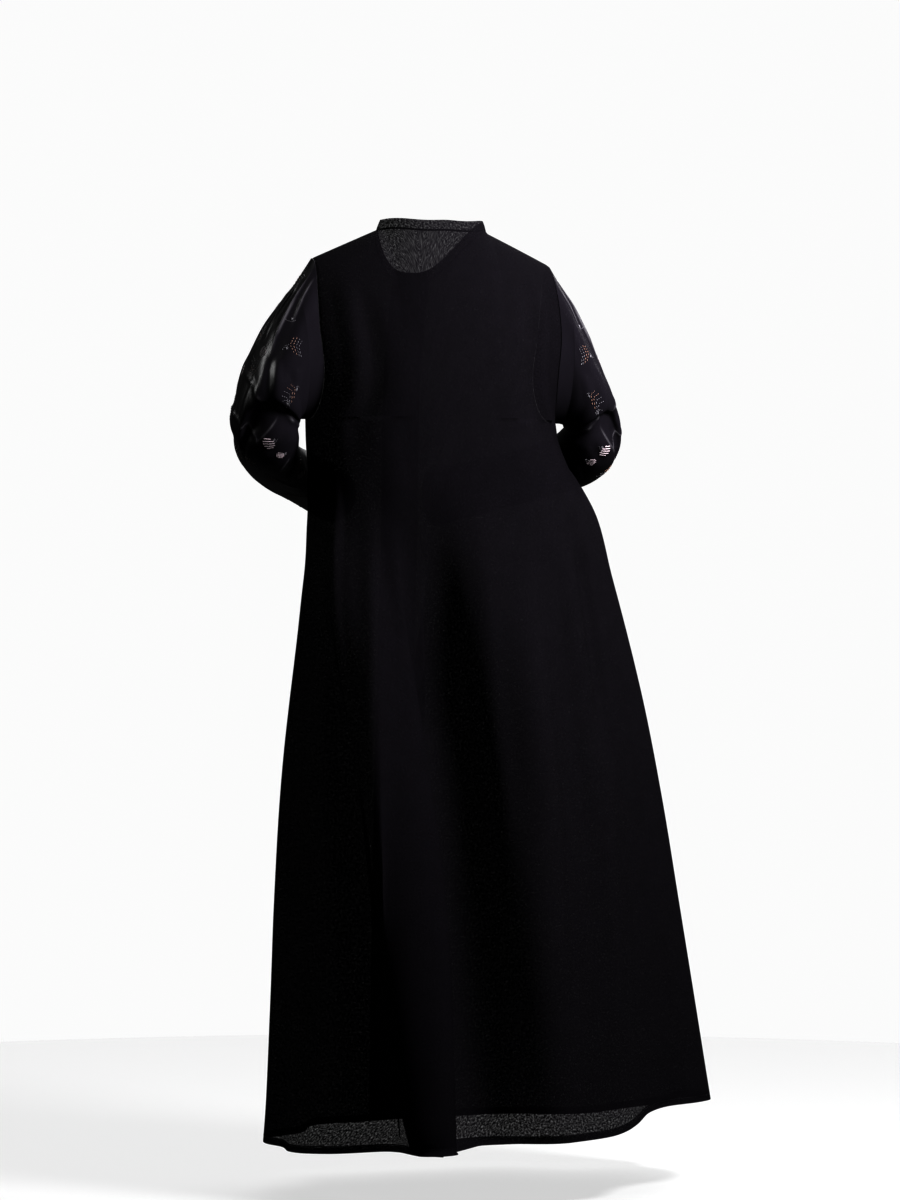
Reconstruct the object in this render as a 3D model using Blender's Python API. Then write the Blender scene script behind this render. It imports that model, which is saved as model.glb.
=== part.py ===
"""A long black abaya, worn: a hollow flared robe with two bent sleeves and a narrow neckband.

Metres, +Z up. The wearer faces -Y, so the back is +Y and the wearer's left is +X. The origin
lies between the two shoulder tips, where the shoulders carry the cloth. Angles run round the
body in degrees: 0 at the centre back, 90 at the left side seam, -90 at the right side seam and
180 at the centre front. Each piece is a thin wall with a rim all round, and neighbouring pieces
lie a seam gap apart.
"""

import math
from collections import namedtuple

import bmesh
import bpy
from mathutils import Vector

# ---- driving dimensions, in metres and degrees ----
WALL = 0.0013               # cloth with its turned seam allowances
SEAM_GAP = 0.0003           # between the edges of two pieces that are sewn together

UNDERARM_DROP = 0.245       # from the shoulder tip down to the underarm point
SHOULDER_TIP = 0.193        # half the shoulder width, seam to seam
NECK_HALF_WIDTH = 0.085     # neck point of the shoulder seam
NECK_POINT_RISE = 0.048     # neck point above the shoulder tip
NECK_ARCH_RISE = 0.100      # top of the form that the neckline is cut from
BACK_NECK_SHARE = 0.84      # height of the centre back neckline, as a share of that form
FRONT_NECK_SHARE = 0.64     # and of the centre front neckline
YOKE_ROUND_BACK = 2.2       # how squarely the back turns over the shoulder
YOKE_ROUND_FRONT = 1.6
ARMHOLE_COSINE = 0.49       # how far round the body the armhole edge lies

LAP_HALF_WIDTH = 0.030      # the right front laps over the left by twice this
LAP_STEP = 0.0022           # the upper layer lies this far out, wall included
LAP_EASE = 0.060            # width over which the upper layer comes back to the form

NECKBAND_HEIGHT = 0.014
NECKBAND_LEAN = 0.28        # inward lean for each unit of rise
BAND_SEAM_RISE = 0.0005     # the band stands this far above the neckline's outer edge

SIDE_CELLS = 14             # grid cells from a side seam to the neck point
BACK_NECK_CELLS = 12        # across the back neck
FRONT_NECK_CELLS = 4        # from the neck point to the edge of the lap
SKIRT_ROWS = 15             # from the hem up to the underarm
YOKE_ROWS = 12              # from the underarm up to the shoulder
SLEEVE_CELLS = 2 * YOKE_ROWS
RINGS_PER_STATION = 2
NECK_COLUMN = 0.3           # share of the way from the centre to the armhole
BAND_ROWS = 2

# Plain sections of the body. Each size is from the centre line between the shoulders, and
# roundness is the power of the sine that gives the side: 1 is an ellipse, less is squarer.
Section = namedtuple("Section", "drop left right front back roundness")
SECTIONS = (
    Section(0.245, 0.196, 0.200, 0.135, 0.125, 0.80),
    Section(0.280, 0.195, 0.207, 0.136, 0.126, 0.81),
    Section(0.330, 0.192, 0.232, 0.138, 0.129, 0.84),
    Section(0.397, 0.189, 0.268, 0.140, 0.138, 0.89),
    Section(0.520, 0.202, 0.304, 0.150, 0.165, 0.95),
    Section(0.674, 0.217, 0.341, 0.163, 0.198, 1.00),
    Section(0.828, 0.230, 0.367, 0.174, 0.228, 1.00),
    Section(0.982, 0.237, 0.388, 0.183, 0.253, 1.00),
    Section(1.136, 0.241, 0.409, 0.190, 0.275, 1.00),
    Section(1.290, 0.245, 0.430, 0.196, 0.294, 1.00),
    Section(1.360, 0.249, 0.440, 0.200, 0.303, 1.00),
)

# Half width of the form above the underarm, by share of the height up to the shoulder.
Yoke = namedtuple("Yoke", "share half_width")
YOKE = (
    Yoke(0.00, 0.196),
    Yoke(0.08, 0.197),
    Yoke(0.25, 0.205),
    Yoke(0.50, 0.218),
    Yoke(0.75, 0.219),
    Yoke(1.00, 0.215),
)

# The hem hangs lowest at the left and is carried up at the right, where the skirt stands out.
Hem = namedtuple("Hem", "angle drop")
HEM = (
    Hem(-180.0, 1.342),
    Hem(-135.0, 1.336),
    Hem(-110.0, 1.320),
    Hem(-90.0, 1.302),
    Hem(-60.0, 1.292),
    Hem(-38.0, 1.298),
    Hem(-24.0, 1.322),
    Hem(0.0, 1.329),
    Hem(45.0, 1.341),
    Hem(90.0, 1.353),
    Hem(135.0, 1.346),
    Hem(180.0, 1.342),
)

# Long folds of the skirt. A fold starts at `top`, drifts from one angle to the other on its
# way down, and stands out (or sinks in, below zero) by `depth` at the hem.
Fold = namedtuple("Fold", "top top_angle hem_angle depth spread")
BODY_FOLDS = (
    Fold(0.34, 66, 70, 0.010, 17),
    Fold(0.50, 68, 43, -0.036, 17),
    Fold(0.38, 30, 22, 0.034, 14),
    Fold(0.44, 9, 0, -0.042, 15),
    Fold(0.50, -14, -13, 0.010, 14),
    Fold(0.60, -42, -28, 0.018, 13),
    Fold(0.55, -56, -46, -0.012, 14),
    Fold(0.42, -74, -70, 0.020, 22),
    Fold(0.55, -98, -95, -0.016, 16),
    Fold(0.45, -118, -116, 0.018, 18),
    Fold(0.50, -138, -136, -0.020, 16),
    Fold(0.40, -158, -156, 0.016, 15),
    Fold(0.55, 94, 92, -0.012, 14),
    Fold(0.42, 112, 112, 0.014, 18),
    Fold(0.50, 134, 132, -0.020, 16),
    Fold(0.40, 154, 154, 0.016, 15),
)

# Stations of each sleeve after the armhole: the outer line runs from the shoulder tip round
# the elbow and along the underside of the forearm, the inner line from the underarm through
# the crook of the elbow. Side distances are positive away from the body.
Station = namedtuple("Station", "station outer_x outer_y outer_z inner_x inner_y inner_z half_depth")
SLEEVES = {
    "left": (
        Station(1, 0.224, 0.004, -0.048, 0.2115, 0.002, -0.2455, 0.060),
        Station(2, 0.267, 0.008, -0.110, 0.2150, 0.000, -0.2470, 0.063),
        Station(3, 0.297, 0.012, -0.175, 0.2180, -0.004, -0.2490, 0.063),
        Station(4, 0.3125, 0.014, -0.240, 0.2170, -0.016, -0.2520, 0.059),
        Station(5, 0.3070, 0.000, -0.290, 0.2130, -0.044, -0.2585, 0.053),
        Station(6, 0.273, -0.050, -0.324, 0.2030, -0.088, -0.2680, 0.049),
        Station(7, 0.226, -0.112, -0.345, 0.1750, -0.132, -0.2790, 0.047),
        Station(8, 0.176, -0.163, -0.362, 0.1400, -0.169, -0.2880, 0.046),
        Station(9, 0.127, -0.208, -0.379, 0.1040, -0.203, -0.2980, 0.045),
        Station(10, 0.085, -0.244, -0.394, 0.0730, -0.236, -0.3080, 0.045),
    ),
    "right": (
        Station(1, 0.219, 0.004, -0.048, 0.2150, 0.002, -0.2455, 0.058),
        Station(2, 0.252, 0.008, -0.110, 0.2215, 0.000, -0.2470, 0.061),
        Station(3, 0.283, 0.010, -0.175, 0.2270, -0.006, -0.2490, 0.061),
        Station(4, 0.311, 0.008, -0.240, 0.2310, -0.020, -0.2525, 0.057),
        Station(5, 0.3165, -0.008, -0.291, 0.2325, -0.046, -0.2590, 0.053),
        Station(6, 0.300, -0.054, -0.328, 0.2290, -0.088, -0.2680, 0.051),
        Station(7, 0.259, -0.116, -0.350, 0.2060, -0.136, -0.2800, 0.049),
        Station(8, 0.209, -0.170, -0.367, 0.1700, -0.176, -0.2900, 0.047),
        Station(9, 0.157, -0.220, -0.384, 0.1290, -0.217, -0.3000, 0.046),
        Station(10, 0.109, -0.264, -0.399, 0.0920, -0.257, -0.3100, 0.045),
    ),
}

# Folds along a sleeve. Angles run round the sleeve: 0 on the outer line, 90 at the front,
# 180 on the inner line and 270 at the back.
SleeveFold = namedtuple("SleeveFold", "first last first_angle last_angle depth spread")
SLEEVE_FOLDS = (
    SleeveFold(0.2, 4.0, 338, 322, 0.005, 24),
    SleeveFold(0.2, 3.6, 305, 292, 0.005, 24),
    SleeveFold(0.6, 3.8, 35, 50, 0.005, 28),
    SleeveFold(5.4, 9.4, 300, 318, 0.005, 28),
    SleeveFold(5.6, 9.8, 60, 40, 0.005, 30),
)

# The crease over the elbow, where the upper sleeve sags over the lower: the station that it
# passes at each angle round the sleeve, and how deep it is there.
Crease = namedtuple("Crease", "angle station depth")
ELBOW_CREASE = (
    Crease(0, 4.9, 0.002),
    Crease(90, 4.4, 0.005),
    Crease(180, 4.1, 0.007),
    Crease(225, 3.9, 0.010),
    Crease(270, 3.9, 0.011),
    Crease(315, 4.4, 0.009),
    Crease(345, 4.8, 0.004),
    Crease(360, 4.9, 0.002),
)
CREASE_LENGTH = 0.75        # in stations, above and below the crease

# ---- finishes ----
Finish = namedtuple("Finish", "color roughness")
CREPE = Finish((0.012, 0.011, 0.014, 1.0), 0.70)
SATIN = Finish((0.014, 0.013, 0.016, 1.0), 0.38)


def smooth(share):
    """Ease from 0 to 1 with level ends."""
    share = min(max(share, 0.0), 1.0)
    return share * share * (3.0 - 2.0 * share)


def read_table(rows, at):
    """The row of a table at a value of its first column, by a smooth curve through the rows."""
    keys = [row[0] for row in rows]
    if at <= keys[0]:
        return rows[0]
    if at >= keys[-1]:
        return rows[-1]
    high = next(index for index, key in enumerate(keys) if key > at)
    low = high - 1
    span = keys[high] - keys[low]
    t = (at - keys[low]) / span

    def slope(index, column):
        before = max(index - 1, 0)
        after = min(index + 1, len(rows) - 1)
        return (rows[after][column] - rows[before][column]) / (keys[after] - keys[before])

    values = []
    for column in range(len(rows[0])):
        start = rows[low][column]
        end = rows[high][column]
        curve = (2 * t ** 3 - 3 * t ** 2 + 1) * start + (3 * t ** 2 - 2 * t ** 3) * end
        curve += (t ** 3 - 2 * t ** 2 + t) * span * slope(low, column)
        curve += (t ** 3 - t ** 2) * span * slope(high, column)
        values.append(curve)
    return type(rows[0])(*values)


def angle_between(angle, centre):
    """Signed difference of two angles, from -180 to 180 degrees."""
    return (angle - centre + 180.0) % 360.0 - 180.0


def bump(distance, spread):
    """A smooth hump: 1 at the middle, 0 beyond the spread."""
    if abs(distance) >= spread:
        return 0.0
    return 0.5 + 0.5 * math.cos(math.pi * distance / spread)


# ---- the form of the body ----
def fold_height(angle, drop, hem_drop):
    """How far the folds carry the skirt out from its plain section."""
    height = 0.0
    for fold in BODY_FOLDS:
        share = (drop - fold.top) / (hem_drop - fold.top)
        if share <= 0.0:
            continue
        centre = fold.hem_angle + (fold.top_angle - fold.hem_angle) * (1.0 - share) ** 2
        spread = fold.spread * (0.55 + 0.45 * share)
        height += fold.depth * share ** 1.1 * bump(angle_between(angle, centre), spread)
    return height


def skirt_point(angle, share):
    """A point below the underarm; share runs from 0 at the underarm to 1 at the hem."""
    hem_drop = read_table(HEM, angle_between(angle, 0.0)).drop
    drop = UNDERARM_DROP + (hem_drop - UNDERARM_DROP) * share
    section = read_table(SECTIONS, drop)
    turn = math.radians(angle)
    half_width = section.left if math.sin(turn) > 0.0 else section.right
    half_depth = section.back if math.cos(turn) > 0.0 else section.front
    across = math.copysign(abs(math.sin(turn)) ** section.roundness, math.sin(turn))
    point = Vector((half_width * across, half_depth * math.cos(turn), -drop))
    outward = Vector((math.sin(turn) / half_width, math.cos(turn) / half_depth, 0.0)).normalized()
    return point + outward * fold_height(angle, drop, hem_drop)


def armhole_turn(share):
    """Angle from the centre of a panel to its armhole edge, at a share of the armhole's height."""
    lower_round = math.sqrt(max(0.0, 1.0 - (2.0 * share - 1.0) ** 2)) if share < 0.5 else 1.0
    return math.degrees(math.acos(ARMHOLE_COSINE * lower_round))


def yoke_half_width(share, side):
    """Half width of the form above the underarm; it takes up the skirt's width at its foot."""
    underarm = SECTIONS[0].left if side > 0 else SECTIONS[0].right
    return read_table(YOKE, share).half_width + (underarm - YOKE[0].half_width) * (1.0 - share) ** 2


def ridge_height(across):
    """Height of the shoulder line, and of the arch over the neck, at a distance from the centre."""
    across = abs(across)
    if across >= NECK_HALF_WIDTH:
        slope = NECK_POINT_RISE / (SHOULDER_TIP - NECK_HALF_WIDTH)
        return slope * (SHOULDER_TIP - across)
    return NECK_POINT_RISE + (NECK_ARCH_RISE - NECK_POINT_RISE) * (1.0 - (across / NECK_HALF_WIDTH) ** 2)


def top_share(face, column):
    """Share of the form's height at which a panel ends: all of it, or less along the neckline."""
    if abs(column) >= NECK_COLUMN:
        return 1.0
    centre_share = BACK_NECK_SHARE if face == "back" else FRONT_NECK_SHARE
    return 1.0 - (1.0 - centre_share) * math.cos(math.radians(90.0 * column / NECK_COLUMN))


def yoke_point(face, column, level):
    """A point above the underarm; level runs from 0 at the underarm to 1 at the panel's top."""
    side = 1 if column >= 0.0 else -1
    turn = math.radians(armhole_turn(level) * abs(column))
    share = level * top_share(face, column)
    half_width = yoke_half_width(share, side)
    across = side * half_width * math.sin(turn) ** SECTIONS[0].roundness
    power = YOKE_ROUND_BACK if face == "back" else YOKE_ROUND_FRONT
    half_depth = SECTIONS[0].back if face == "back" else -SECTIONS[0].front
    depth_share = max(0.0, 1.0 - share ** power) ** (1.0 / power)
    height = -UNDERARM_DROP + (ridge_height(across) + UNDERARM_DROP) * share
    return Vector((across, half_depth * depth_share * math.cos(turn), height))


def body_point(face, column, level):
    """A point of the body: column from -1 at the right to 1 at the left, level from -1 at the
    hem through 0 at the underarm to 1 at the shoulder and neckline."""
    if level > 0.0:
        return yoke_point(face, column, level)
    angle = 90.0 * column if face == "back" else 180.0 - 90.0 * column
    return skirt_point(angle, -level)


def lap_column(side, level):
    """The column that lies half the lap's width from the centre front, at a level."""
    low = 0.0
    high = NECK_COLUMN
    for _ in range(30):
        middle = 0.5 * (low + high)
        if abs(body_point("front", side * middle, level).x) < LAP_HALF_WIDTH:
            low = middle
        else:
            high = middle
    return 0.5 * (low + high)


# ---- grids of points ----
def body_levels():
    """Levels of the grid's rows, from the hem up; the yoke's rows are even round the armhole."""
    skirt = [-1.0 + row / SKIRT_ROWS for row in range(SKIRT_ROWS)]
    yoke = [0.5 - 0.5 * math.cos(math.pi * row / YOKE_ROWS) for row in range(YOKE_ROWS + 1)]
    return skirt + yoke


def back_columns():
    """Columns of the back, from the left side to the right."""
    side = [1.0 - (1.0 - NECK_COLUMN) * cell / SIDE_CELLS for cell in range(SIDE_CELLS)]
    neck = [NECK_COLUMN - 2.0 * NECK_COLUMN * cell / BACK_NECK_CELLS for cell in range(BACK_NECK_CELLS + 1)]
    return side + neck + [-column for column in reversed(side)]


def front_columns(side, level):
    """Columns of a front, from its side seam past the centre to the far edge of the lap."""
    near_lap = lap_column(side, level)
    far_lap = lap_column(-side, level)
    outer = [1.0 - (1.0 - NECK_COLUMN) * cell / SIDE_CELLS for cell in range(SIDE_CELLS)]
    inner = [NECK_COLUMN + (near_lap - NECK_COLUMN) * cell / FRONT_NECK_CELLS
             for cell in range(FRONT_NECK_CELLS + 1)]
    return [side * column for column in outer + inner + [0.0, -far_lap]]


def panel_grid(face, side):
    """Rows of points of a body panel, with its columns in the order that faces the wall outward."""
    grid = []
    columns_by_row = []
    for level in body_levels():
        columns = back_columns() if face == "back" else front_columns(side, level)
        if face == "front" and side > 0:
            columns.reverse()
        grid.append([body_point(face, column, level) for column in columns])
        columns_by_row.append(columns)
    return grid, columns_by_row


def grid_normals(grid, closed=False):
    """Outward directions at the points of a grid, from the differences of their neighbours."""
    rows = len(grid)
    columns = len(grid[0])
    normals = []
    for row in range(rows):
        line = []
        for column in range(columns):
            if closed:
                before = grid[row][(column - 1) % columns]
                after = grid[row][(column + 1) % columns]
            else:
                before = grid[row][max(column - 1, 0)]
                after = grid[row][min(column + 1, columns - 1)]
            below = grid[max(row - 1, 0)][column]
            above = grid[min(row + 1, rows - 1)][column]
            line.append((after - before).cross(above - below).normalized())
        normals.append(line)
    return normals


def square_to_seams(normals, columns_by_row):
    """Turn the directions at the seams into the seam's own plane, so that two rims stay parallel."""
    top = len(normals) - 1
    for row, columns in enumerate(columns_by_row):
        for index, column in enumerate(columns):
            normal = normals[row][index]
            at_side = abs(column) > 0.999
            side_seam = at_side and row <= SKIRT_ROWS
            shoulder_seam = row == top and abs(column) >= NECK_COLUMN - 0.001
            if side_seam or shoulder_seam:
                normal.y = 0.0
            if at_side and row > SKIRT_ROWS and normal.x * column < 0.0:
                normal.x = 0.0
            normal.normalize()


def open_seams(grid, columns_by_row, face):
    """Draw a panel's edges back from its side and shoulder seams by half the seam gap."""
    shift = Vector((0.0, SEAM_GAP / 2 if face == "back" else -SEAM_GAP / 2, 0.0))
    top = len(grid) - 1
    for row, columns in enumerate(columns_by_row):
        for index, column in enumerate(columns):
            side_seam = abs(column) > 0.999 and row <= SKIRT_ROWS
            shoulder_seam = row == top and abs(column) >= NECK_COLUMN - 0.001
            if side_seam or shoulder_seam:
                grid[row][index] = grid[row][index] + shift


def lap_lift(x):
    """How far the upper layer of the front lies outside the form."""
    return LAP_STEP * (1.0 - smooth((-x - 1.25 * LAP_HALF_WIDTH) / LAP_EASE))


# ---- the sleeves ----
def armhole_loop(side):
    """The edge of an armhole, from the shoulder tip by the front, underarm and back."""
    loop = []
    for cell in range(SLEEVE_CELLS):
        turn = 2.0 * math.pi * cell / SLEEVE_CELLS
        face = "front" if cell < YOKE_ROWS else "back"
        loop.append(body_point(face, side, 0.5 + 0.5 * math.cos(turn)))
    return loop


def station_ring(side, row, heading):
    """An oval ring of a sleeve between its outer and inner lines."""
    outer = Vector((side * row.outer_x, row.outer_y, row.outer_z))
    inner = Vector((side * row.inner_x, row.inner_y, row.inner_z))
    spoke = (outer - inner) / 2.0
    forward = heading.cross(spoke).normalized() * side
    ring = []
    for cell in range(SLEEVE_CELLS):
        turn = 2.0 * math.pi * cell / SLEEVE_CELLS
        ring.append((outer + inner) / 2.0 + spoke * math.cos(turn) + forward * row.half_depth * math.sin(turn))
    return ring


def station_centre(side, row):
    """The middle of a sleeve at a station."""
    return Vector((side * (row.outer_x + row.inner_x), row.outer_y + row.inner_y,
                   row.outer_z + row.inner_z)) / 2.0


def sleeve_fold_height(degrees, station):
    """How far the folds and the elbow crease carry a sleeve out from its plain rings."""
    height = 0.0
    for fold in SLEEVE_FOLDS:
        share = (station - fold.first) / (fold.last - fold.first)
        if 0.0 < share < 1.0:
            centre = fold.first_angle + (fold.last_angle - fold.first_angle) * share
            height += fold.depth * math.sin(math.pi * share) * bump(angle_between(degrees, centre), fold.spread)
    crease = read_table(ELBOW_CREASE, degrees)
    distance = (station - crease.station) / CREASE_LENGTH
    height -= crease.depth * bump(distance - 0.35, 1.0)
    height += 0.6 * crease.depth * bump(distance + 0.65, 1.0)
    return height


def sleeve_grid(side):
    """Rings of a sleeve from the armhole to the cuff."""
    rows = SLEEVES["left" if side > 0 else "right"]
    last = rows[-1].station
    start = armhole_loop(side)
    first_heading = Vector((side, 0.0, -0.4))
    rings = [[point + Vector((side * SEAM_GAP, 0.0, 0.0)) for point in start]]
    for step in range(1, last * RINGS_PER_STATION + 1):
        station = step / RINGS_PER_STATION
        row = read_table(rows, station)
        before = station_centre(side, read_table(rows, max(station - 0.5, 1.0)))
        after = station_centre(side, read_table(rows, min(station + 0.5, last)))
        heading = (after - before).normalized()
        if station <= 2.0:
            heading = first_heading.lerp(heading, smooth(station / 2.0)).normalized()
        ring = station_ring(side, row, heading)
        if station < 1.0:
            ring = [a.lerp(b, smooth(station)) for a, b in zip(start, ring)]
        rings.append(ring)
    normals = tube_normals(rings, side)
    for step, ring in enumerate(rings):
        for cell in range(SLEEVE_CELLS):
            if step > 0:
                lift = sleeve_fold_height(360.0 * cell / SLEEVE_CELLS, step / RINGS_PER_STATION)
                ring[cell] = ring[cell] + normals[step][cell] * lift
    return rings


def tube_normals(rings, side):
    """Outward directions round a sleeve; at the armhole they lie in the seam's plane."""
    normals = grid_normals(rings, closed=True)
    if side < 0:
        normals = [[-normal for normal in line] for line in normals]
    for normal in normals[0]:
        normal.x = 0.0
        normal.normalize()
    return normals


# ---- the neckband ----
def neck_edge(panels):
    """Neckline points of the finished panels, from the right front's lap, round the back, to the
    left front's lap."""
    stops = []
    for name in ("front_right", "back", "front_left"):
        grid, _, columns = panels[name]
        inside = 0.001 if name == "back" else -0.001
        points = [point for point, column in zip(grid[-1], columns[-1]) if abs(column) < NECK_COLUMN - inside]
        stops += reversed(points)
    return stops


def neckband_grid(panels):
    """Rows of the neckband, standing on the neckline and leaning in a little."""
    grid = []
    edge = neck_edge(panels)
    for row in range(BAND_ROWS + 1):
        rise = BAND_SEAM_RISE + NECKBAND_HEIGHT * row / BAND_ROWS
        line = []
        for point in edge:
            outward = Vector((point.x, point.y, 0.0)).normalized()
            line.append(point + Vector((0.0, 0.0, rise)) - outward * rise * NECKBAND_LEAN)
        grid.append(line)
    return grid


# ---- building the pieces ----
def make_material(name, finish):
    material = bpy.data.materials.new(name)
    material.use_nodes = True
    shader = material.node_tree.nodes["Principled BSDF"]
    shader.inputs["Base Color"].default_value = finish.color
    shader.inputs["Roughness"].default_value = finish.roughness
    shader.inputs["Metallic"].default_value = 0.0
    return material


def wall_between(name, outer, inner, finish, closed=False):
    """A closed wall from its outer and inner grids; a closed grid joins its last column to its first."""
    rows = len(outer)
    columns = len(outer[0])
    mesh_data = bpy.data.meshes.new(name)
    mesh = bmesh.new()
    spans = columns if closed else columns - 1
    bmesh.ops.create_grid(mesh, x_segments=spans, y_segments=rows - 1, size=1.0)
    mesh.verts.ensure_lookup_table()
    for index, vert in enumerate(mesh.verts):
        row, column = divmod(index, spans + 1)
        vert.co = outer[row][column % columns]
    outer_verts = mesh.verts[:]
    rim = [tuple(edge.verts) for edge in mesh.edges if edge.is_boundary]
    copied = bmesh.ops.duplicate(mesh, geom=mesh.verts[:] + mesh.edges[:] + mesh.faces[:])
    inner_faces = [item for item in copied["geom"] if isinstance(item, bmesh.types.BMFace)]
    twin = copied["vert_map"]
    for index, vert in enumerate(outer_verts):
        row, column = divmod(index, spans + 1)
        twin[vert].co = inner[row][column % columns]
    bmesh.ops.reverse_faces(mesh, faces=inner_faces)
    for start, end in rim:
        first, last = (outer_verts.index(vert) % (spans + 1) for vert in (start, end))
        runs_up = first == last
        if not (closed and runs_up):
            mesh.faces.new((start, end, twin[end], twin[start]))
    if closed:
        bmesh.ops.remove_doubles(mesh, verts=mesh.verts[:], dist=1e-6)
    bmesh.ops.recalc_face_normals(mesh, faces=mesh.faces[:])
    mesh.to_mesh(mesh_data)
    mesh.free()
    mesh_data.shade_smooth()
    mesh_data.set_sharp_from_angle(angle=math.radians(50.0))
    piece = bpy.data.objects.new(name, mesh_data)
    piece.data.materials.append(make_material(name + "_cloth", finish))
    bpy.context.scene.collection.objects.link(piece)
    return piece


def inset(grid, normals):
    """The inner side of a wall."""
    return [[point - normal * WALL for point, normal in zip(points, directions)]
            for points, directions in zip(grid, normals)]


def finished_panel(face, side):
    """Points, outward directions and columns of a panel, its edges a seam gap from the next."""
    grid, columns = panel_grid(face, side)
    normals = grid_normals(grid)
    square_to_seams(normals, columns)
    open_seams(grid, columns, face)
    if face == "front" and side < 0:
        grid = [[point + normal * lap_lift(point.x) for point, normal in zip(points, directions)]
                for points, directions in zip(grid, normals)]
    return grid, normals, columns


def build_sleeve(name, side):
    """A sleeve as a tube, open at the armhole and at the cuff."""
    rings = sleeve_grid(side)
    normals = tube_normals(rings, side)
    return wall_between(name, rings, inset(rings, normals), SATIN, closed=True)


def build_neckband(name, panels):
    """The narrow band that finishes the neck; its ends lap with the fronts."""
    grid = neckband_grid(panels)
    normals = grid_normals(grid)
    return wall_between(name, grid, inset(grid, normals), CREPE)


def main():
    for leftover in list(bpy.data.objects):
        bpy.data.objects.remove(leftover)
    panels = {
        "back": finished_panel("back", 0),
        "front_left": finished_panel("front", 1),
        "front_right": finished_panel("front", -1),
    }
    for name, (grid, normals, _) in panels.items():
        wall_between(name, grid, inset(grid, normals), CREPE)
    build_sleeve("sleeve_left", 1)
    build_sleeve("sleeve_right", -1)
    build_neckband("neckband", panels)


main()
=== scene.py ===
"""The looks of a long black abaya, worn: a sheer crepe body and satin sleeves with stitched sprigs.

Metres, +Z up, in the frame of the solids: the wearer faces -Y and the wearer's left is +X. Angles
run round the body in degrees: 0 at the centre back, 90 at the left side seam, -90 at the right
side seam and 180 at the centre front. Each cut piece is a grid of points on the garment's form,
carried in and out by its creases, then given its thickness. What is sewn on a piece is placed
from the points of that piece.
"""

import math
from collections import namedtuple

import bmesh
import bpy
import numpy as np
from mathutils import Matrix, Vector


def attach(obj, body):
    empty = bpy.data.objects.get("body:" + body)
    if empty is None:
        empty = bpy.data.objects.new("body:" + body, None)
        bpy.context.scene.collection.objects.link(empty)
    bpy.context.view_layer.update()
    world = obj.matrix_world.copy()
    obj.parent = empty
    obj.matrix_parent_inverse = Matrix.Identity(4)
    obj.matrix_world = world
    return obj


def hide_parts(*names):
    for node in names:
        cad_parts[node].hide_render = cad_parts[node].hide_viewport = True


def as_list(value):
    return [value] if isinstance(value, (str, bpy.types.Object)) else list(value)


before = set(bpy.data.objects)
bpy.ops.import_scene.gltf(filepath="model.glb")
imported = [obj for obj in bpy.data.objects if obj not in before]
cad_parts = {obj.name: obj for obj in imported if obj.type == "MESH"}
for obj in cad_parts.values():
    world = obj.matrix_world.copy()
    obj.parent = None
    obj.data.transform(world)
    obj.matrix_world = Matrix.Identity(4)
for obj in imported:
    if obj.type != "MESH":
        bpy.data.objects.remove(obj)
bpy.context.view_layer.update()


def table(kind, rows):
    """Rows of plain numbers as rows with named columns."""
    return [kind(*row) for row in rows]


# ---- the garment's form, as the solids have it ----
UNDERARM_DROP = 0.245  # from the shoulder tip down to the underarm point
SHOULDER_TIP = 0.193  # half the shoulder width, seam to seam
NECK_HALF_WIDTH = 0.085  # neck point of the shoulder seam
NECK_POINT_RISE = 0.048  # neck point above the shoulder tip
NECK_ARCH_RISE = 0.100  # top of the form that the neckline is cut from
BACK_NECK_SHARE = 0.84  # height of the centre back neckline, as a share of that form
FRONT_NECK_SHARE = 0.64  # and of the centre front neckline
YOKE_ROUND_BACK = 2.2  # how squarely the back turns over the shoulder
YOKE_ROUND_FRONT = 1.6
ARMHOLE_COSINE = 0.49  # how far round the body the armhole edge lies
LAP_HALF_WIDTH = 0.030  # the right front laps over the left by twice this
LAP_STEP = 0.0022  # the upper layer lies this far out
LAP_EASE = 0.060  # width over which the upper layer comes back to the form
LAP_EASE_START = 1.25  # and where that begins, in half widths of the lap
NECKBAND_HEIGHT = 0.014
NECKBAND_LEAN = 0.28  # inward lean for each unit of rise
BAND_OVERLAP = 0.003  # the band reaches this far down over the neckline's edge
BAND_STEP = 0.0007  # and stands this far outside it
BAND_ROUND = 0.0006  # how far its middle stands out
NECK_COLUMN = 0.3  # share of the way from the centre to the armhole

Section = namedtuple("Section", "drop left right front back roundness")
SECTIONS = table(Section, (
    (0.245, 0.196, 0.2, 0.135, 0.125, 0.8),
    (0.28, 0.195, 0.207, 0.136, 0.126, 0.81),
    (0.33, 0.192, 0.232, 0.138, 0.129, 0.84),
    (0.397, 0.189, 0.268, 0.14, 0.138, 0.89),
    (0.52, 0.202, 0.304, 0.15, 0.165, 0.95),
    (0.674, 0.217, 0.341, 0.163, 0.198, 1.0),
    (0.828, 0.23, 0.367, 0.174, 0.228, 1.0),
    (0.982, 0.237, 0.388, 0.183, 0.253, 1.0),
    (1.136, 0.241, 0.409, 0.19, 0.275, 1.0),
    (1.29, 0.245, 0.43, 0.196, 0.294, 1.0),
    (1.36, 0.249, 0.44, 0.2, 0.303, 1.0),
))

Yoke = namedtuple("Yoke", "share half_width")
YOKE = table(Yoke, (
    (0.0, 0.196),
    (0.08, 0.197),
    (0.25, 0.205),
    (0.5, 0.218),
    (0.75, 0.219),
    (1.0, 0.215),
))

Hem = namedtuple("Hem", "angle drop")
HEM = table(Hem, (
    (-180.0, 1.342),
    (-135.0, 1.336),
    (-110.0, 1.32),
    (-90.0, 1.302),
    (-60.0, 1.292),
    (-38.0, 1.298),
    (-24.0, 1.322),
    (0.0, 1.329),
    (45.0, 1.341),
    (90.0, 1.353),
    (135.0, 1.346),
    (180.0, 1.342),
))

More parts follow.
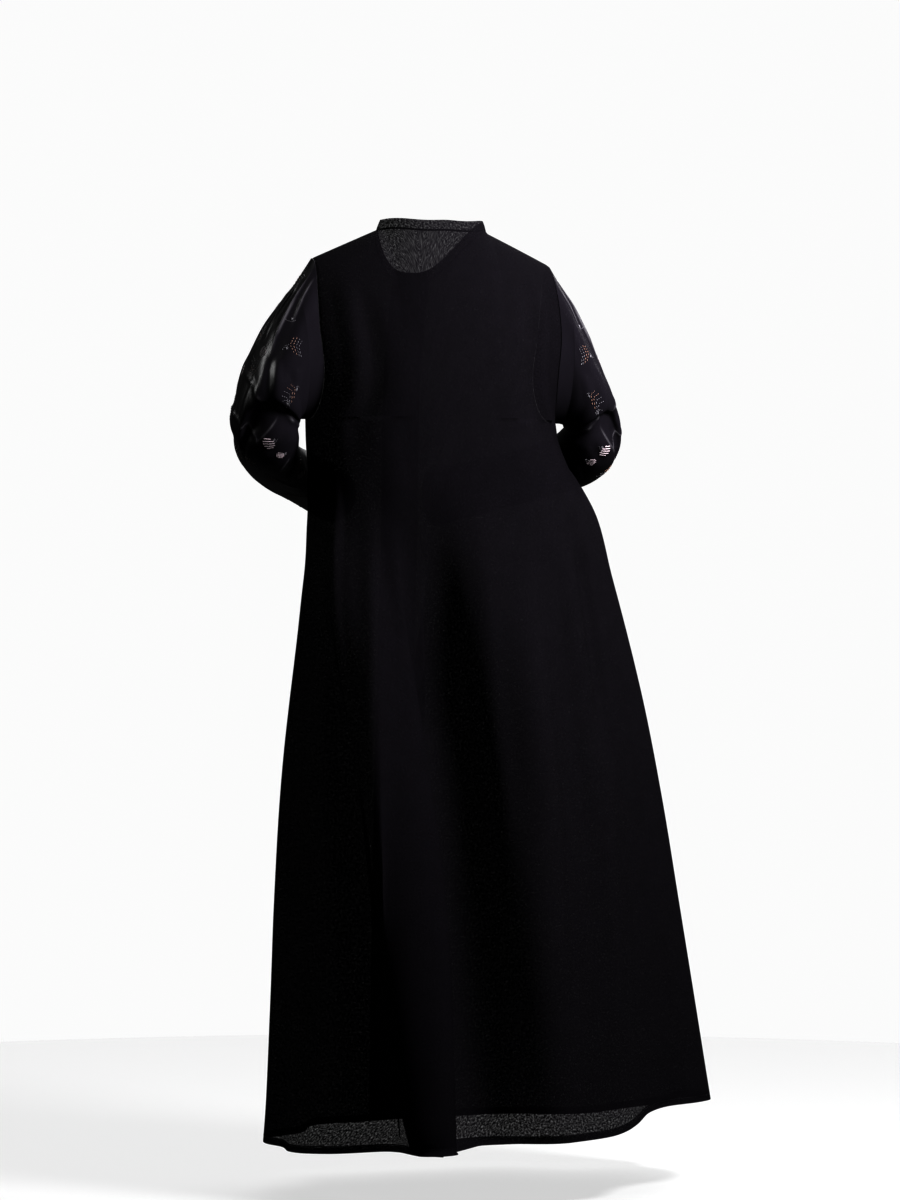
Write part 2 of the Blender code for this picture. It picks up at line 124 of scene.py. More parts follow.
# Long folds of the skirt: each drifts from one angle to the other on its way down to the hem.
FOLD_START = 0.55  # a fold's spread at its top, as a share of that at the hem
FOLD_GROWTH = 1.1  # power by which its depth grows toward the hem
Fold = namedtuple("Fold", "top top_angle hem_angle depth spread")
BODY_FOLDS = table(Fold, (
    (0.34, 66, 70, 0.01, 17),
    (0.5, 68, 43, -0.036, 17),
    (0.38, 30, 22, 0.034, 14),
    (0.44, 9, 0, -0.042, 15),
    (0.5, -14, -13, 0.01, 14),
    (0.6, -42, -28, 0.018, 13),
    (0.55, -56, -46, -0.012, 14),
    (0.42, -74, -70, 0.02, 22),
    (0.55, -98, -95, -0.016, 16),
    (0.45, -118, -116, 0.018, 18),
    (0.5, -138, -136, -0.02, 16),
    (0.4, -158, -156, 0.016, 15),
    (0.55, 94, 92, -0.012, 14),
    (0.42, 112, 112, 0.014, 18),
    (0.5, 134, 132, -0.02, 16),
    (0.4, 154, 154, 0.016, 15),
))

# Stations of each sleeve: the outer line runs from the shoulder tip round the elbow, the inner
# line from the underarm through the crook of the elbow.
Station = namedtuple("Station", "station outer_x outer_y outer_z inner_x inner_y inner_z half_depth")
SLEEVES = {
    "left": table(Station, (
        (1, 0.224, 0.004, -0.048, 0.2115, 0.002, -0.2455, 0.06),
        (2, 0.267, 0.008, -0.11, 0.215, 0.0, -0.247, 0.063),
        (3, 0.297, 0.012, -0.175, 0.218, -0.004, -0.249, 0.063),
        (4, 0.3125, 0.014, -0.24, 0.217, -0.016, -0.252, 0.059),
        (5, 0.307, 0.0, -0.29, 0.213, -0.044, -0.2585, 0.053),
        (6, 0.273, -0.05, -0.324, 0.203, -0.088, -0.268, 0.049),
        (7, 0.226, -0.112, -0.345, 0.175, -0.132, -0.279, 0.047),
        (8, 0.176, -0.163, -0.362, 0.14, -0.169, -0.288, 0.046),
        (9, 0.127, -0.208, -0.379, 0.104, -0.203, -0.298, 0.045),
        (10, 0.085, -0.244, -0.394, 0.073, -0.236, -0.308, 0.045),
    )),
    "right": table(Station, (
        (1, 0.219, 0.004, -0.048, 0.215, 0.002, -0.2455, 0.058),
        (2, 0.252, 0.008, -0.11, 0.2215, 0.0, -0.247, 0.061),
        (3, 0.283, 0.01, -0.175, 0.227, -0.006, -0.249, 0.061),
        (4, 0.311, 0.008, -0.24, 0.231, -0.02, -0.2525, 0.057),
        (5, 0.3165, -0.008, -0.291, 0.2325, -0.046, -0.259, 0.053),
        (6, 0.3, -0.054, -0.328, 0.229, -0.088, -0.268, 0.051),
        (7, 0.259, -0.116, -0.35, 0.206, -0.136, -0.28, 0.049),
        (8, 0.209, -0.17, -0.367, 0.17, -0.176, -0.29, 0.047),
        (9, 0.157, -0.22, -0.384, 0.129, -0.217, -0.3, 0.046),
        (10, 0.109, -0.264, -0.399, 0.092, -0.257, -0.31, 0.045),
    )),
}
LAST_STATION = 10
STATION_LENGTH = 0.070  # along the sleeve, about
HEADING_EASE = 2.0  # stations over which a sleeve turns into its own direction
HEADING_DROP = 0.4  # fall of the sleeve for each unit outward at the armhole

# Folds along a sleeve. Angles run round the sleeve: 0 on the outer line, 90 at the front,
# 180 on the inner line and 270 at the back.
SleeveFold = namedtuple("SleeveFold", "first last first_angle last_angle depth spread")
SLEEVE_FOLDS = table(SleeveFold, (
    (0.2, 4.0, 338, 322, 0.003, 24),
    (0.2, 3.6, 305, 292, 0.003, 24),
    (0.6, 3.8, 35, 50, 0.005, 28),
    (5.4, 9.4, 300, 318, 0.005, 28),
    (5.6, 9.8, 60, 40, 0.005, 30),
))

# The lip over the elbow, where the upper sleeve sags over the lower: the station that its edge
# passes at each angle round the sleeve, and how much of the whole drop it has there.
Lip = namedtuple("Lip", "angle station strength")
ELBOW_LIP = table(Lip, (
    (0, 4.85, 0.1),
    (45, 4.6, 0.35),
    (90, 4.2, 0.6),
    (150, 3.9, 0.35),
    (200, 3.5, 0.15),
    (240, 3.25, 0.45),
    (270, 3.22, 0.9),
    (300, 3.3, 1.0),
    (328, 3.58, 1.0),
    (345, 3.98, 0.85),
    (354, 4.45, 0.45),
    (360, 4.85, 0.1),
))
LIP_LENGTH = 0.55  # in stations, either side of the edge

# The shapes that make up the lip: the middle and spread of each in lengths of the lip, and its reach.
LipShape = namedtuple("LipShape", "centre spread reach")
LIP_SWELL = LipShape(-0.55, 1.10, 0.0035)  # the upper cloth stands out over the lip
LIP_SINK = LipShape(0.75, 1.35, -0.0110)  # the lower cloth lies in under it
LIP_SLIDE = LipShape(-0.22, 0.75, 0.0120)  # the upper cloth hangs down past the edge
TUCK_SLIDE = LipShape(0.40, 0.75, -0.0060)  # the lower cloth runs up under it

# ---- how finely the cloth is made ----
PANEL_SIDE_CELLS = 62  # from a side seam to the neck point
BACK_NECK_CELLS = 48
FRONT_NECK_CELLS = 12  # from the neck point to the lap
LAP_CELLS = 5  # from the lap's near edge to the centre, and on to the far edge
SKIRT_ROWS = 150
YOKE_ROWS = 78
SLEEVE_CELLS = 236
SLEEVE_RINGS = 184
BAND_ROWS = 6
SEAM_COLUMNS = (0.0, 0.0022, 0.0055)  # columns close to a seam, in shares of the half width
SEAM_RINGS = (0.0, 0.02, 0.05, 0.09)  # rings close to the armhole, in stations
HEM_ROWS = (0.0, 0.0015, 0.0040, 0.0095, 0.0115)  # rows of the turned-up hem, above the edge
STITCHED_HEM_ROW = 3
EDGE_COLUMN = 0.9999  # columns past this share of the half width lie on a side seam
NECK_MARGIN = 0.001  # slack in telling the neckline's columns from the shoulder's
LAP_SEARCH_STEPS = 30
FINE_ANGLES = 1441  # once round a sleeve, to space its columns by

# Where a sleeve's columns lie closer together, and by how much.
Gather = namedtuple("Gather", "angle spread extra")
SLEEVE_GATHERS = table(Gather, ((-34.0, 62.0, 1.5), (42.0, 55.0, 0.9)))

CLOTH = 0.0005  # thickness of one layer
SHEER_GRAIN = 0.0030  # size of the thick and thin places in the sheer cloth
SHEER_CONTRAST = 1.0  # and how much more one covers than the other
CLOUD_SIZE = 0.035  # of the cloudy patches in a cloth's tone
HIGHLIGHT_LEAST_SHARE = 0.3  # least share of the painted highlight's tone on a sharp crest
FIBRE_SIZE = 0.0009  # of the twist in a thread
PATCH_SIZE = 0.006  # of the lighter and darker lengths of a thread
TURN_DEPTH = 0.0013  # the turned-up layer lies this far inside the outer face
SEAM_ROLL = 0.0007  # how far the cloth rolls in at a seam
SEAM_ROLL_WIDTH = 0.0045
CREASE_FADE = 0.022  # creases die away over this width before an armhole or shoulder seam
TAPER_SHARE = 0.35  # of a crease's length, at either end, over which it dies away
CREASE_STEPS = 20  # straight pieces in a crease's curve
HIGHLIGHT_WIDTH = 0.0026  # from the top of a sharp crest to where its painted highlight ends
CREASE_START = 0.35  # stations from the armhole to where a sleeve's creases are whole
CUFF_CALM = 0.7  # share of its creases that a sleeve loses at the cuff
CUFF_CALM_LENGTH = 0.5  # over this many stations
FAR = 1.0  # a distance beyond any seam's reach

# Creases of the body. A crease runs through three places, each an angle and a drop, and stands
# out (or sinks in, below zero) by its height, over its half width. Its crest is soft or sharp.
Crease = namedtuple("Crease", "start middle end height width crest", defaults=("soft",))
BODY_CREASES = table(Crease, (
    # back, from the centre to the left side
    ((66, 0.32), (58, 0.54), (47, 0.88), 0.01, 0.016),
    ((51, 0.36), (46, 0.56), (43, 0.86), -0.005, 0.024),
    ((27, 0.56), (26, 0.92), (25, 1.45), -0.005, 0.015),
    ((73, 0.38), (69, 0.52), (66, 0.7), -0.004, 0.026),
    ((74, 0.64), (72, 0.95), (71, 1.34), 0.004, 0.034),
    ((84, 0.42), (83, 0.76), (82, 1.15), -0.003, 0.034),
    ((58, 0.76), (52, 1.0), (50, 1.33), -0.004, 0.04),
    ((44, 0.6), (37, 0.84), (33, 1.12), 0.0035, 0.034),
    ((36, 0.98), (33, 1.15), (32, 1.345), -0.003, 0.026),
    ((19, 0.56), (17, 0.9), (15, 1.34), -0.0045, 0.024),
    ((25, 0.56), (24, 0.88), (21, 1.5), -0.006, 0.03),
    # back, the largest fold, the hollow beside it, and the right side
    ((66, 0.32), (34, 0.9), (28, 1.6), 0.038, 0.062),
    ((50, 0.4), (36, 0.64), (31, 1.05), 0.0025, 0.022),
    ((34, 0.4), (27, 0.64), (25, 1.06), 0.0025, 0.018),
    ((-47, 0.38), (-43, 0.56), (-38, 0.84), -0.011, 0.022),
    ((-37, 0.4), (-33, 0.64), (-29, 1.05), 0.006, 0.026),
    ((16, 0.33), (12, 0.9), (11, 1.65), -0.102, 0.092),
    ((-17, 0.46), (-14, 0.88), (-11, 1.42), 0.026, 0.052),
    ((56, 0.48), (50, 0.84), (46, 1.33), -0.014, 0.05),
    ((9, 0.34), (7, 0.56), (3, 0.82), -0.0045, 0.036),
    ((-4, 0.64), (-9, 0.98), (-11, 1.34), 0.0035, 0.034),
    ((-19, 0.42), (-20, 0.76), (-20, 1.18), 0.003, 0.042),
    ((-33, 0.52), (-29, 0.9), (-24, 1.33), -0.0035, 0.03),
    ((-42, 0.6), (-34, 0.96), (-27, 1.33), 0.0045, 0.026),
    ((-50, 0.7), (-43, 1.02), (-38, 1.31), -0.0035, 0.03),
    ((-63, 0.48), (-58, 0.86), (-54, 1.3), 0.004, 0.04),
    ((-80, 0.5), (-79, 0.88), (-78, 1.3), -0.0035, 0.036),
    # back, between the shoulders and from the underarms
    ((64, 0.03), (60, 0.14), (54, 0.33), 0.004, 0.026),
    ((48, 0.06), (47, 0.17), (46, 0.36), -0.0035, 0.026),
    ((-63, 0.035), (-59, 0.15), (-53, 0.34), 0.004, 0.028),
    ((-47, 0.05), (-46, 0.18), (-46, 0.39), -0.0035, 0.026),
    ((27, 0.12), (28, 0.24), (28, 0.46), 0.0025, 0.034),
    ((-27, 0.13), (-26, 0.26), (-22, 0.48), 0.0025, 0.036),
    ((88, 0.262), (75, 0.32), (64, 0.42), -0.005, 0.018),
    ((84, 0.3), (76, 0.36), (70, 0.47), 0.0045, 0.018),
    ((-88, 0.262), (-74, 0.33), (-60, 0.45), -0.005, 0.02),
    ((-84, 0.3), (-77, 0.37), (-69, 0.5), 0.0045, 0.02),
    # front
    ((92, 0.262), (106, 0.33), (118, 0.43), -0.0045, 0.018),
    ((97, 0.3), (108, 0.37), (113, 0.5), 0.0045, 0.02),
    ((-92, 0.262), (-105, 0.32), (-119, 0.43), -0.0045, 0.018),
    ((-96, 0.305), (-106, 0.38), (-112, 0.52), 0.0045, 0.02),
    ((116, 0.05), (122, 0.15), (130, 0.33), 0.0035, 0.024),
    ((-117, 0.045), (-122, 0.16), (-131, 0.35), 0.0035, 0.024),
    ((148, 0.15), (147, 0.32), (144, 0.62), 0.003, 0.03),
    ((-148, 0.14), (-146, 0.31), (-142, 0.58), 0.003, 0.03),
    ((104, 0.56), (102, 0.88), (101, 1.34), 0.004, 0.032),
    ((123, 0.48), (122, 0.86), (122, 1.34), -0.0045, 0.032),
    ((142, 0.62), (144, 0.94), (143, 1.34), 0.004, 0.028),
    ((165, 0.56), (166, 0.9), (166, 1.34), -0.0035, 0.03),
    ((-106, 0.54), (-107, 0.86), (-106, 1.31), 0.004, 0.034),
    ((-128, 0.5), (-127, 0.82), (-127, 1.32), -0.0045, 0.034),
    ((-147, 0.58), (-148, 0.9), (-147, 1.33), 0.004, 0.028),
    ((-167, 0.54), (-168, 0.86), (-167, 1.34), -0.003, 0.028),
))

# Beside the back's largest fold the cloth turns sharply in: its crest is drawn over toward the
# hollow next to it, and the hollow toward the crest.
Draw = namedtuple("Draw", "top full angle spread reach")
SKIRT_DRAWS = table(Draw, (
    (0.42, 1.05, 23.0, 9.5, 0.034),
    (0.42, 1.05, 11.0, 9.0, -0.054),
))

# Creases of both sleeves, each place an angle round the sleeve and a station along it.
SLEEVE_CREASES = table(Crease, (
    # tension from the shoulder down the back of the arm
    ((347, 0.2), (353, 1.4), (345, 2.4), 0.0034, 0.0048, "sharp"),
    ((334, 0.15), (333, 1.4), (318, 2.65), 0.0036, 0.0048, "sharp"),
    ((336, 0.9), (329, 1.55), (325, 2.1), 0.0026, 0.0044, "sharp"),
    ((322, 0.2), (322, 0.9), (312, 1.6), 0.0018, 0.0046, "sharp"),
    ((344, 0.6), (344, 1.4), (334, 2.1), -0.0016, 0.008),
    ((8, 0.9), (6, 1.7), (2, 2.7), 0.0024, 0.0056, "sharp"),
    # the fold that bounds the hollow of the elbow on its outer side
    ((341, 2.3), (344, 3.2), (3, 4.4), 0.0034, 0.0056, "sharp"),
    ((352, 3.3), (4, 4.15), (12, 4.8), 0.0024, 0.006, "sharp"),
    ((334, 2.9), (336, 3.4), (344, 3.95), -0.002, 0.01),
    ((14, 3.3), (18, 4.1), (22, 4.8), 0.0012, 0.008),
    # soft sags over the elbow
    ((310, 2.3), (302, 2.75), (283, 3.25), 0.0026, 0.012),
    ((318, 2.4), (312, 2.85), (300, 3.25), -0.0014, 0.012),
    ((276, 1.85), (268, 2.2), (258, 2.7), 0.0016, 0.012),
    # the lower sleeve, out of the crook of the elbow
    ((282, 3.7), (304, 4.15), (330, 4.6), 0.0016, 0.0044, "sharp"),
    ((258, 4.0), (284, 4.45), (318, 5.0), -0.0018, 0.012),
    ((262, 4.95), (282, 5.3), (304, 5.75), 0.0022, 0.006, "sharp"),
    ((240, 5.2), (266, 5.7), (300, 6.15), -0.0018, 0.012),
    ((325, 5.9), (312, 6.5), (303, 7.3), 0.0022, 0.0056, "sharp"),
    ((226, 6.3), (258, 7.0), (296, 7.9), -0.0018, 0.013),
    ((244, 7.3), (268, 7.9), (292, 8.7), 0.002, 0.007, "sharp"),
    # front of the arm
    ((20, 0.45), (26, 1.3), (38, 2.3), 0.003, 0.0062, "sharp"),
    ((38, 0.5), (52, 1.3), (70, 2.2), 0.0028, 0.0064, "sharp"),
    ((28, 0.8), (36, 1.5), (46, 2.35), -0.0016, 0.009),
    ((40, 2.35), (48, 3.0), (66, 3.9), 0.0028, 0.014),
    ((84, 2.1), (96, 2.8), (118, 3.5), -0.0024, 0.016),
    ((108, 3.9), (80, 4.45), (40, 5.05), 0.0034, 0.0068, "sharp"),
    ((120, 4.3), (92, 4.85), (54, 5.45), -0.0024, 0.011),
    ((130, 4.55), (102, 5.2), (66, 5.8), 0.0028, 0.007, "sharp"),
    ((112, 6.5), (86, 7.3), (60, 8.2), -0.002, 0.014),
    ((124, 7.3), (102, 8.0), (84, 8.9), 0.002, 0.0075, "sharp"),
    ((22, 6.1), (14, 7.1), (8, 8.3), 0.002, 0.012),
))

# ---- sewing thread and embroidery ----
THREAD_SIDES = 5
THREAD_RINGS = 4
STITCH_BATCH = 150  # stitches made in one mesh before it joins the whole
STITCH_PITCH = 0.0032
STITCH_LENGTH = 0.0024
STITCH_RADIUS = 0.00022
STITCH_LIFT = 0.0001
EDGE_STITCH = 0.008  # from a front edge to its row of stitches

LEAF_LENGTH = 0.030
LEAF_PAIRS = 4  # strokes on each side of a leaf's midrib
LEAF_COPPER_PAIRS = 2  # those nearest its foot are copper, the others grey
LEAF_STROKE = 0.0150  # the longest
LEAF_SHORTEST = 0.55  # least length of a stroke, as a share of the longest
LEAF_SWELL = (0.20, 0.62)  # the part of an arch that the strokes' lengths follow: its start and extent
LEAF_START = 0.3  # the first stroke's place, in steps between strokes
LEAF_SLANT = 46.0  # angle of a stroke from the midrib
STROKE_DASHES = ((0.06, 0.32), (0.40, 0.66), (0.74, 1.00))
LEAF_THREAD = 0.00046
DISC_BARS = 5
DISC_THREAD = 0.00040
DISC_THREAD_PITCH = 0.00075
DISC_BAR_SHARE = 0.66  # thread-covered share of each bar's pitch
DISC_SLANT = 0.0003  # how far each end of a thread lies to its side
DISC_TURN = 25.0  # a disc's bars from its sprig's own direction
STEM_THREAD = 0.00036
STEM_STITCH = 0.0036
STEM_STITCH_SHARE = 0.86  # of each step, the rest is a gap
STEM_BARS = 3  # short bars beside a stem
STEM_BARS_START = 0.55  # along it
STEM_BAR_GAP = 0.0014  # from the stem to its bars
STEM_BAR_LENGTH = 0.0062
STEM_BAR_PITCH = 0.0017
EMBROIDERY_LIFT = 0.00028

# A sprig stands on a sleeve at an angle and a station, turned round its own middle: a stem that
# bends, a leaf at its tip, and a disc beside its foot where it has one.
Sprig = namedtuple("Sprig", "degrees station turn stem bend leaf disc")
SPRIGS = table(Sprig, (
    (308, 2.15, 205, 0.018, -0.002, 1, 0.0),
    (258, 2.25, 50, 0.01, 0.002, 1, 0.0),
    (339, 2.5, 200, 0.026, 0.003, 0, 0.0085),
    (338, 3.3, 150, 0.016, -0.002, 1, 0.0),
    (16, 2.6, 200, 0.022, 0.003, 1, 0.0),
    (327, 1.6, 228, 0.026, 0.003, 0, 0.0),
    (282, 3.05, 245, 0.018, -0.003, 0, 0.0),
    (302, 4.45, 230, 0.02, 0.003, 0, 0.0098),
    (284, 4.8, 250, 0.014, -0.002, 0, 0.0072),
    (4, 5.0, 330, 0.018, 0.003, 1, 0.0),
    (316, 5.6, 20, 0.034, 0.006, 1, 0.0),
    (276, 6.65, 190, 0.03, -0.005, 1, 0.0088),
    (330, 7.3, 340, 0.034, 0.005, 1, 0.0),
    (304, 8.3, 165, 0.036, 0.006, 1, 0.0092),
    (20, 1.3, 200, 0.036, -0.006, 1, 0.0088),
    (62, 1.95, 165, 0.04, 0.006, 1, 0.0),
    (30, 2.9, 25, 0.04, 0.006, 1, 0.0095),
    (96, 1.2, 190, 0.028, -0.004, 1, 0.0),
    (78, 3.3, 330, 0.034, -0.005, 1, 0.0085),
    (44, 4.6, 150, 0.034, 0.005, 1, 0.0),
    (92, 5.4, 40, 0.04, -0.006, 1, 0.0098),
    (30, 6.1, 200, 0.036, 0.005, 1, 0.0),
    (70, 6.9, 160, 0.042, 0.006, 1, 0.0088),
    (16, 7.9, 20, 0.034, -0.005, 1, 0.0),
    (86, 8.3, 335, 0.036, 0.005, 1, 0.0092),
))

# ---- colours ----
BLACK_THREAD = ((0.006, 0.006, 0.007, 1), (0.02, 0.02, 0.022, 1))
EMBROIDERY_THREADS = {
    "copper": ((0.20, 0.12, 0.092, 1), (0.42, 0.28, 0.225, 1), 0.38),
    "pale": ((0.26, 0.22, 0.235, 1), (0.48, 0.42, 0.445, 1), 0.40),
    "grey": ((0.12, 0.115, 0.125, 1), (0.27, 0.262, 0.28, 1), 0.42),
}

# ---- the floor, the lights and the camera ----
IMAGE_WIDTH = 900
IMAGE_HEIGHT = 1200
FOCAL_PIXELS = 4221.0
SENSOR = 36.0
CAMERA_AZIMUTH = 160.0
CAMERA_DISTANCE = 6.5
CAMERA_HEIGHT = -0.56
ORIGIN_PIXEL_X = 430.0  # where the image shows the point between the shoulders
HORIZON_PIXEL_Y = 625.6
FLOOR_HEIGHT = -1.42
LIGHT_TARGET = -0.60  # height that the lamps look at
FLOOR_RADIUS = 2.40
WALL_TONE = 0.98  # the pale wall behind, as it is seen
ROOM_LIGHT = 0.07  # share of that tone which lights the cloth from all round
SHADOW_GRADE = 0.60  # gamma of the finished picture, which deepens its darks
FLOOR_TONE = (0.10, 0.10, 0.1006, 1.0)
FLOOR_GLOW = 0.73
SOFTBOX_SIZE = 0.50
STRIP_ANGLE = 16.0  # how wide the two far lights look, in degrees
FRONT_ANGLE = 60.0

# Lamps, placed from the point between the shoulders: toward the camera, to its right and upward.
Lamp = namedtuple("Lamp", "name kind backward rightward upward energy")
LAMPS = table(Lamp, (
    ("softbox", "AREA", 0.85, 1.10, 0.50, 130.0),
    ("strip", "SUN", 0.2, -3.6, 1.6, 4.0),
    ("front", "SUN", -2.5, 0.8, 2.4, 4.0),
))


# ---- maths ----
def smooth(share):
    """Ease from 0 to 1 with level ends."""
    share = np.clip(share, 0.0, 1.0)
    return share * share * (3.0 - 2.0 * share)


def bump(distance, spread):
    """A smooth hump: 1 at the middle, 0 beyond the spread."""
    return np.where(np.abs(distance) < spread, 0.5 + 0.5 * np.cos(np.pi * distance / spread), 0.0)


def angle_between(angle, centre):
    """Signed difference of two angles, from -180 to 180 degrees."""
    return (angle - centre + 180.0) % 360.0 - 180.0


def unit(vectors):
    length = np.linalg.norm(vectors, axis=-1, keepdims=True)
    return vectors / np.maximum(length, 1e-12)


def points_of(x, y, z):
    return np.stack(np.broadcast_arrays(x, y, z), axis=-1).astype(float)


def read_table(rows, at):
    """The columns of a table at values of its first one, by a smooth curve through the rows."""
    values = np.array(rows, dtype=float)
    keys = values[:, 0]
    order = np.arange(len(keys))
    before = np.maximum(order - 1, 0)
    after = np.minimum(order + 1, len(keys) - 1)
    slopes = (values[after] - values[before]) / (keys[after] - keys[before])[:, None]
    at = np.clip(np.asarray(at, dtype=float), keys[0], keys[-1])
    low = np.clip(np.searchsorted(keys, at, side="right") - 1, 0, len(keys) - 2)
    span = (keys[low + 1] - keys[low])[..., None]
    t = (at - keys[low])[..., None] / span
    curve = (2 * t ** 3 - 3 * t ** 2 + 1) * values[low] + (3 * t ** 2 - 2 * t ** 3) * values[low + 1]
    curve += (t ** 3 - 2 * t ** 2 + t) * span * slopes[low]
    curve += (t ** 3 - t ** 2) * span * slopes[low + 1]
    return type(rows[0])(*np.moveaxis(curve, -1, 0))


# ---- the form of the body ----
def hem_drop(angle):
    return read_table(HEM, angle_between(angle, 0.0)).drop


def fold_height(angle, drop, lowest):
    """How far the long folds carry the skirt out from its plain section."""
    height = np.zeros(np.broadcast(angle, drop).shape)
    for fold in BODY_FOLDS:
        share = np.clip((drop - fold.top) / (lowest - fold.top), 0.0, None)
        centre = fold.hem_angle + (fold.top_angle - fold.hem_angle) * (1.0 - share) ** 2
        spread = fold.spread * (FOLD_START + (1.0 - FOLD_START) * share)
        height = height + fold.depth * share ** FOLD_GROWTH * bump(angle_between(angle, centre), spread)
    return height


def skirt_point(angle, share):
    """Points below the underarm; share runs from 0 at the underarm to 1 at the hem."""
    lowest = hem_drop(angle)
    drop = UNDERARM_DROP + (lowest - UNDERARM_DROP) * share
    section = read_table(SECTIONS, drop)
    turn = np.radians(angle)
    half_width = np.where(np.sin(turn) > 0.0, section.left, section.right)
    half_depth = np.where(np.cos(turn) > 0.0, section.back, section.front)
    across = np.copysign(np.abs(np.sin(turn)) ** section.roundness, np.sin(turn))
    plain = points_of(half_width * across, half_depth * np.cos(turn), -drop)
    outward = unit(points_of(np.sin(turn) / half_width, np.cos(turn) / half_depth, 0.0 * drop))
    return plain + outward * fold_height(angle, drop, lowest)[..., None]


def yoke_point(back, column, level):
    """Points above the underarm; level runs from 0 there to 1 at the shoulder and neckline."""
    side = np.where(column >= 0.0, 1.0, -1.0)
    lower_round = np.where(level < 0.5, np.sqrt(np.clip(1.0 - (2.0 * level - 1.0) ** 2, 0.0, 1.0)), 1.0)
    turn = np.arccos(ARMHOLE_COSINE * lower_round) * np.abs(column)
    centre_share = BACK_NECK_SHARE if back else FRONT_NECK_SHARE
    dip = (1.0 - centre_share) * np.cos(np.radians(90.0 * np.clip(column / NECK_COLUMN, -1.0, 1.0)))
    share = level * (1.0 - dip)
    underarm = np.where(side > 0, SECTIONS[0].left, SECTIONS[0].right)
    half_width = read_table(YOKE, share).half_width + (underarm - YOKE[0].half_width) * (1.0 - share) ** 2
    across = side * half_width * np.sin(turn) ** SECTIONS[0].roundness
    power = YOKE_ROUND_BACK if back else YOKE_ROUND_FRONT
    half_depth = SECTIONS[0].back if back else -SECTIONS[0].front
    depth_share = np.clip(1.0 - share ** power, 0.0, 1.0) ** (1.0 / power)
    distance = np.abs(across)
    slope = NECK_POINT_RISE / (SHOULDER_TIP - NECK_HALF_WIDTH)
    arch = (NECK_ARCH_RISE - NECK_POINT_RISE) * (1.0 - (distance / NECK_HALF_WIDTH) ** 2)
    ridge = np.where(distance >= NECK_HALF_WIDTH, slope * (SHOULDER_TIP - distance), NECK_POINT_RISE + arch)
    height = -UNDERARM_DROP + (ridge + UNDERARM_DROP) * share
    return points_of(across, half_depth * depth_share * np.cos(turn), height)


def body_point(back, column, level):
    """Points of the body: column from -1 at the right to 1 at the left, level from -1 at the hem
    through 0 at the underarm to 1 at the shoulder and neckline."""
    column, level = np.broadcast_arrays(np.asarray(column, float), np.asarray(level, float))
    angle = 90.0 * column if back else 180.0 - 90.0 * column
    above = (level > 0.0)[..., None]
    return np.where(above, yoke_point(back, column, np.clip(level, 0.0, 1.0)),
                    skirt_point(angle, np.clip(-level, 0.0, 1.0)))


def place_on_body(angle, drop):
    """The point of the form at an angle and a drop below the shoulder tip."""
    level = 1.0 - drop / UNDERARM_DROP
    if drop > UNDERARM_DROP:
        level = (UNDERARM_DROP - drop) / (float(hem_drop(angle)) - UNDERARM_DROP)
    back = abs(angle) <= 90.0
    column = angle / 90.0 if back else math.copysign((180.0 - abs(angle)) / 90.0, angle)
    return body_point(back, column, max(level, -1.0))


def lap_column(side, levels):
    """The columns that lie half the lap's width from the centre front."""
    low = np.zeros(len(levels))
    high = np.full(len(levels), NECK_COLUMN)
    for _ in range(LAP_SEARCH_STEPS):
        middle = 0.5 * (low + high)
        inside = np.abs(body_point(False, side * middle, levels)[..., 0]) < LAP_HALF_WIDTH
        low = np.where(inside, middle, low)
        high = np.where(inside, high, middle)
    return 0.5 * (low + high)


# ---- grids of points ----
def body_levels():
    """Levels of the grid's rows, from the hem up; the first rows are those of the turned hem."""
    skirt_length = SECTIONS[-1].drop - UNDERARM_DROP
    hem = [-1.0 + rise / skirt_length for rise in HEM_ROWS]
    rest = np.linspace(hem[-1], 0.0, SKIRT_ROWS + 1)[1:]
    yoke = 0.5 - 0.5 * np.cos(np.pi * np.arange(1, YOKE_ROWS + 1) / YOKE_ROWS)
    return np.concatenate([hem, rest, yoke])


def side_columns():
    """Columns from a side seam to the neck point, close together at the seam."""
    first = 1.0 - SEAM_COLUMNS[-1]
    rest = np.linspace(first, NECK_COLUMN, PANEL_SIDE_CELLS + 1)
    return [1.0 - step for step in SEAM_COLUMNS[:-1]] + list(rest)


def back_columns(levels):
    """Columns of the back in each row, from the left side to the right."""
    side = side_columns()[:-1]
    neck = list(np.linspace(NECK_COLUMN, -NECK_COLUMN, BACK_NECK_CELLS + 1))
    line = np.array(side + neck + [-column for column in reversed(side)])
    return np.tile(line, (len(levels), 1))


def front_columns(side, levels):
    """Columns of a front in each row, from its side seam past the centre to the lap's far edge."""
    near_lap = lap_column(side, levels)[:, None]
    far_lap = lap_column(-side, levels)[:, None]
    outer = np.tile(side_columns()[:-1], (len(levels), 1))
    share = np.linspace(0.0, 1.0, FRONT_NECK_CELLS + 1)[None, :]
    inner = NECK_COLUMN + (near_lap - NECK_COLUMN) * share
    lap = np.linspace(1.0, 0.0, LAP_CELLS + 1)[None, 1:]
    columns = np.concatenate([outer, inner, near_lap * lap, -far_lap * (1.0 - lap)], axis=1)
    return side * columns


def steps_past(grid, axis, closed=False):
    """At each point of a grid, the step from the neighbour before it to the one after it."""
    rows = grid.swapaxes(0, axis)
    if closed:
        steps = np.roll(rows, -1, axis=0) - np.roll(rows, 1, axis=0)
    else:
        steps = np.concatenate([rows[1:], rows[-1:]]) - np.concatenate([rows[:1], rows[:-1]])
    return steps.swapaxes(0, axis)


def grid_normals(grid, closed=False):
    """Outward directions at the points of a grid."""
    return unit(np.cross(steps_past(grid, 1, closed), steps_past(grid, 0)))


def lengths_across(grid):
    """Distance of each point from its row's first point, along the row."""
    steps = np.linalg.norm(np.diff(grid, axis=1), axis=-1)
    return np.concatenate([np.zeros((len(grid), 1)), np.cumsum(steps, axis=1)], axis=1)


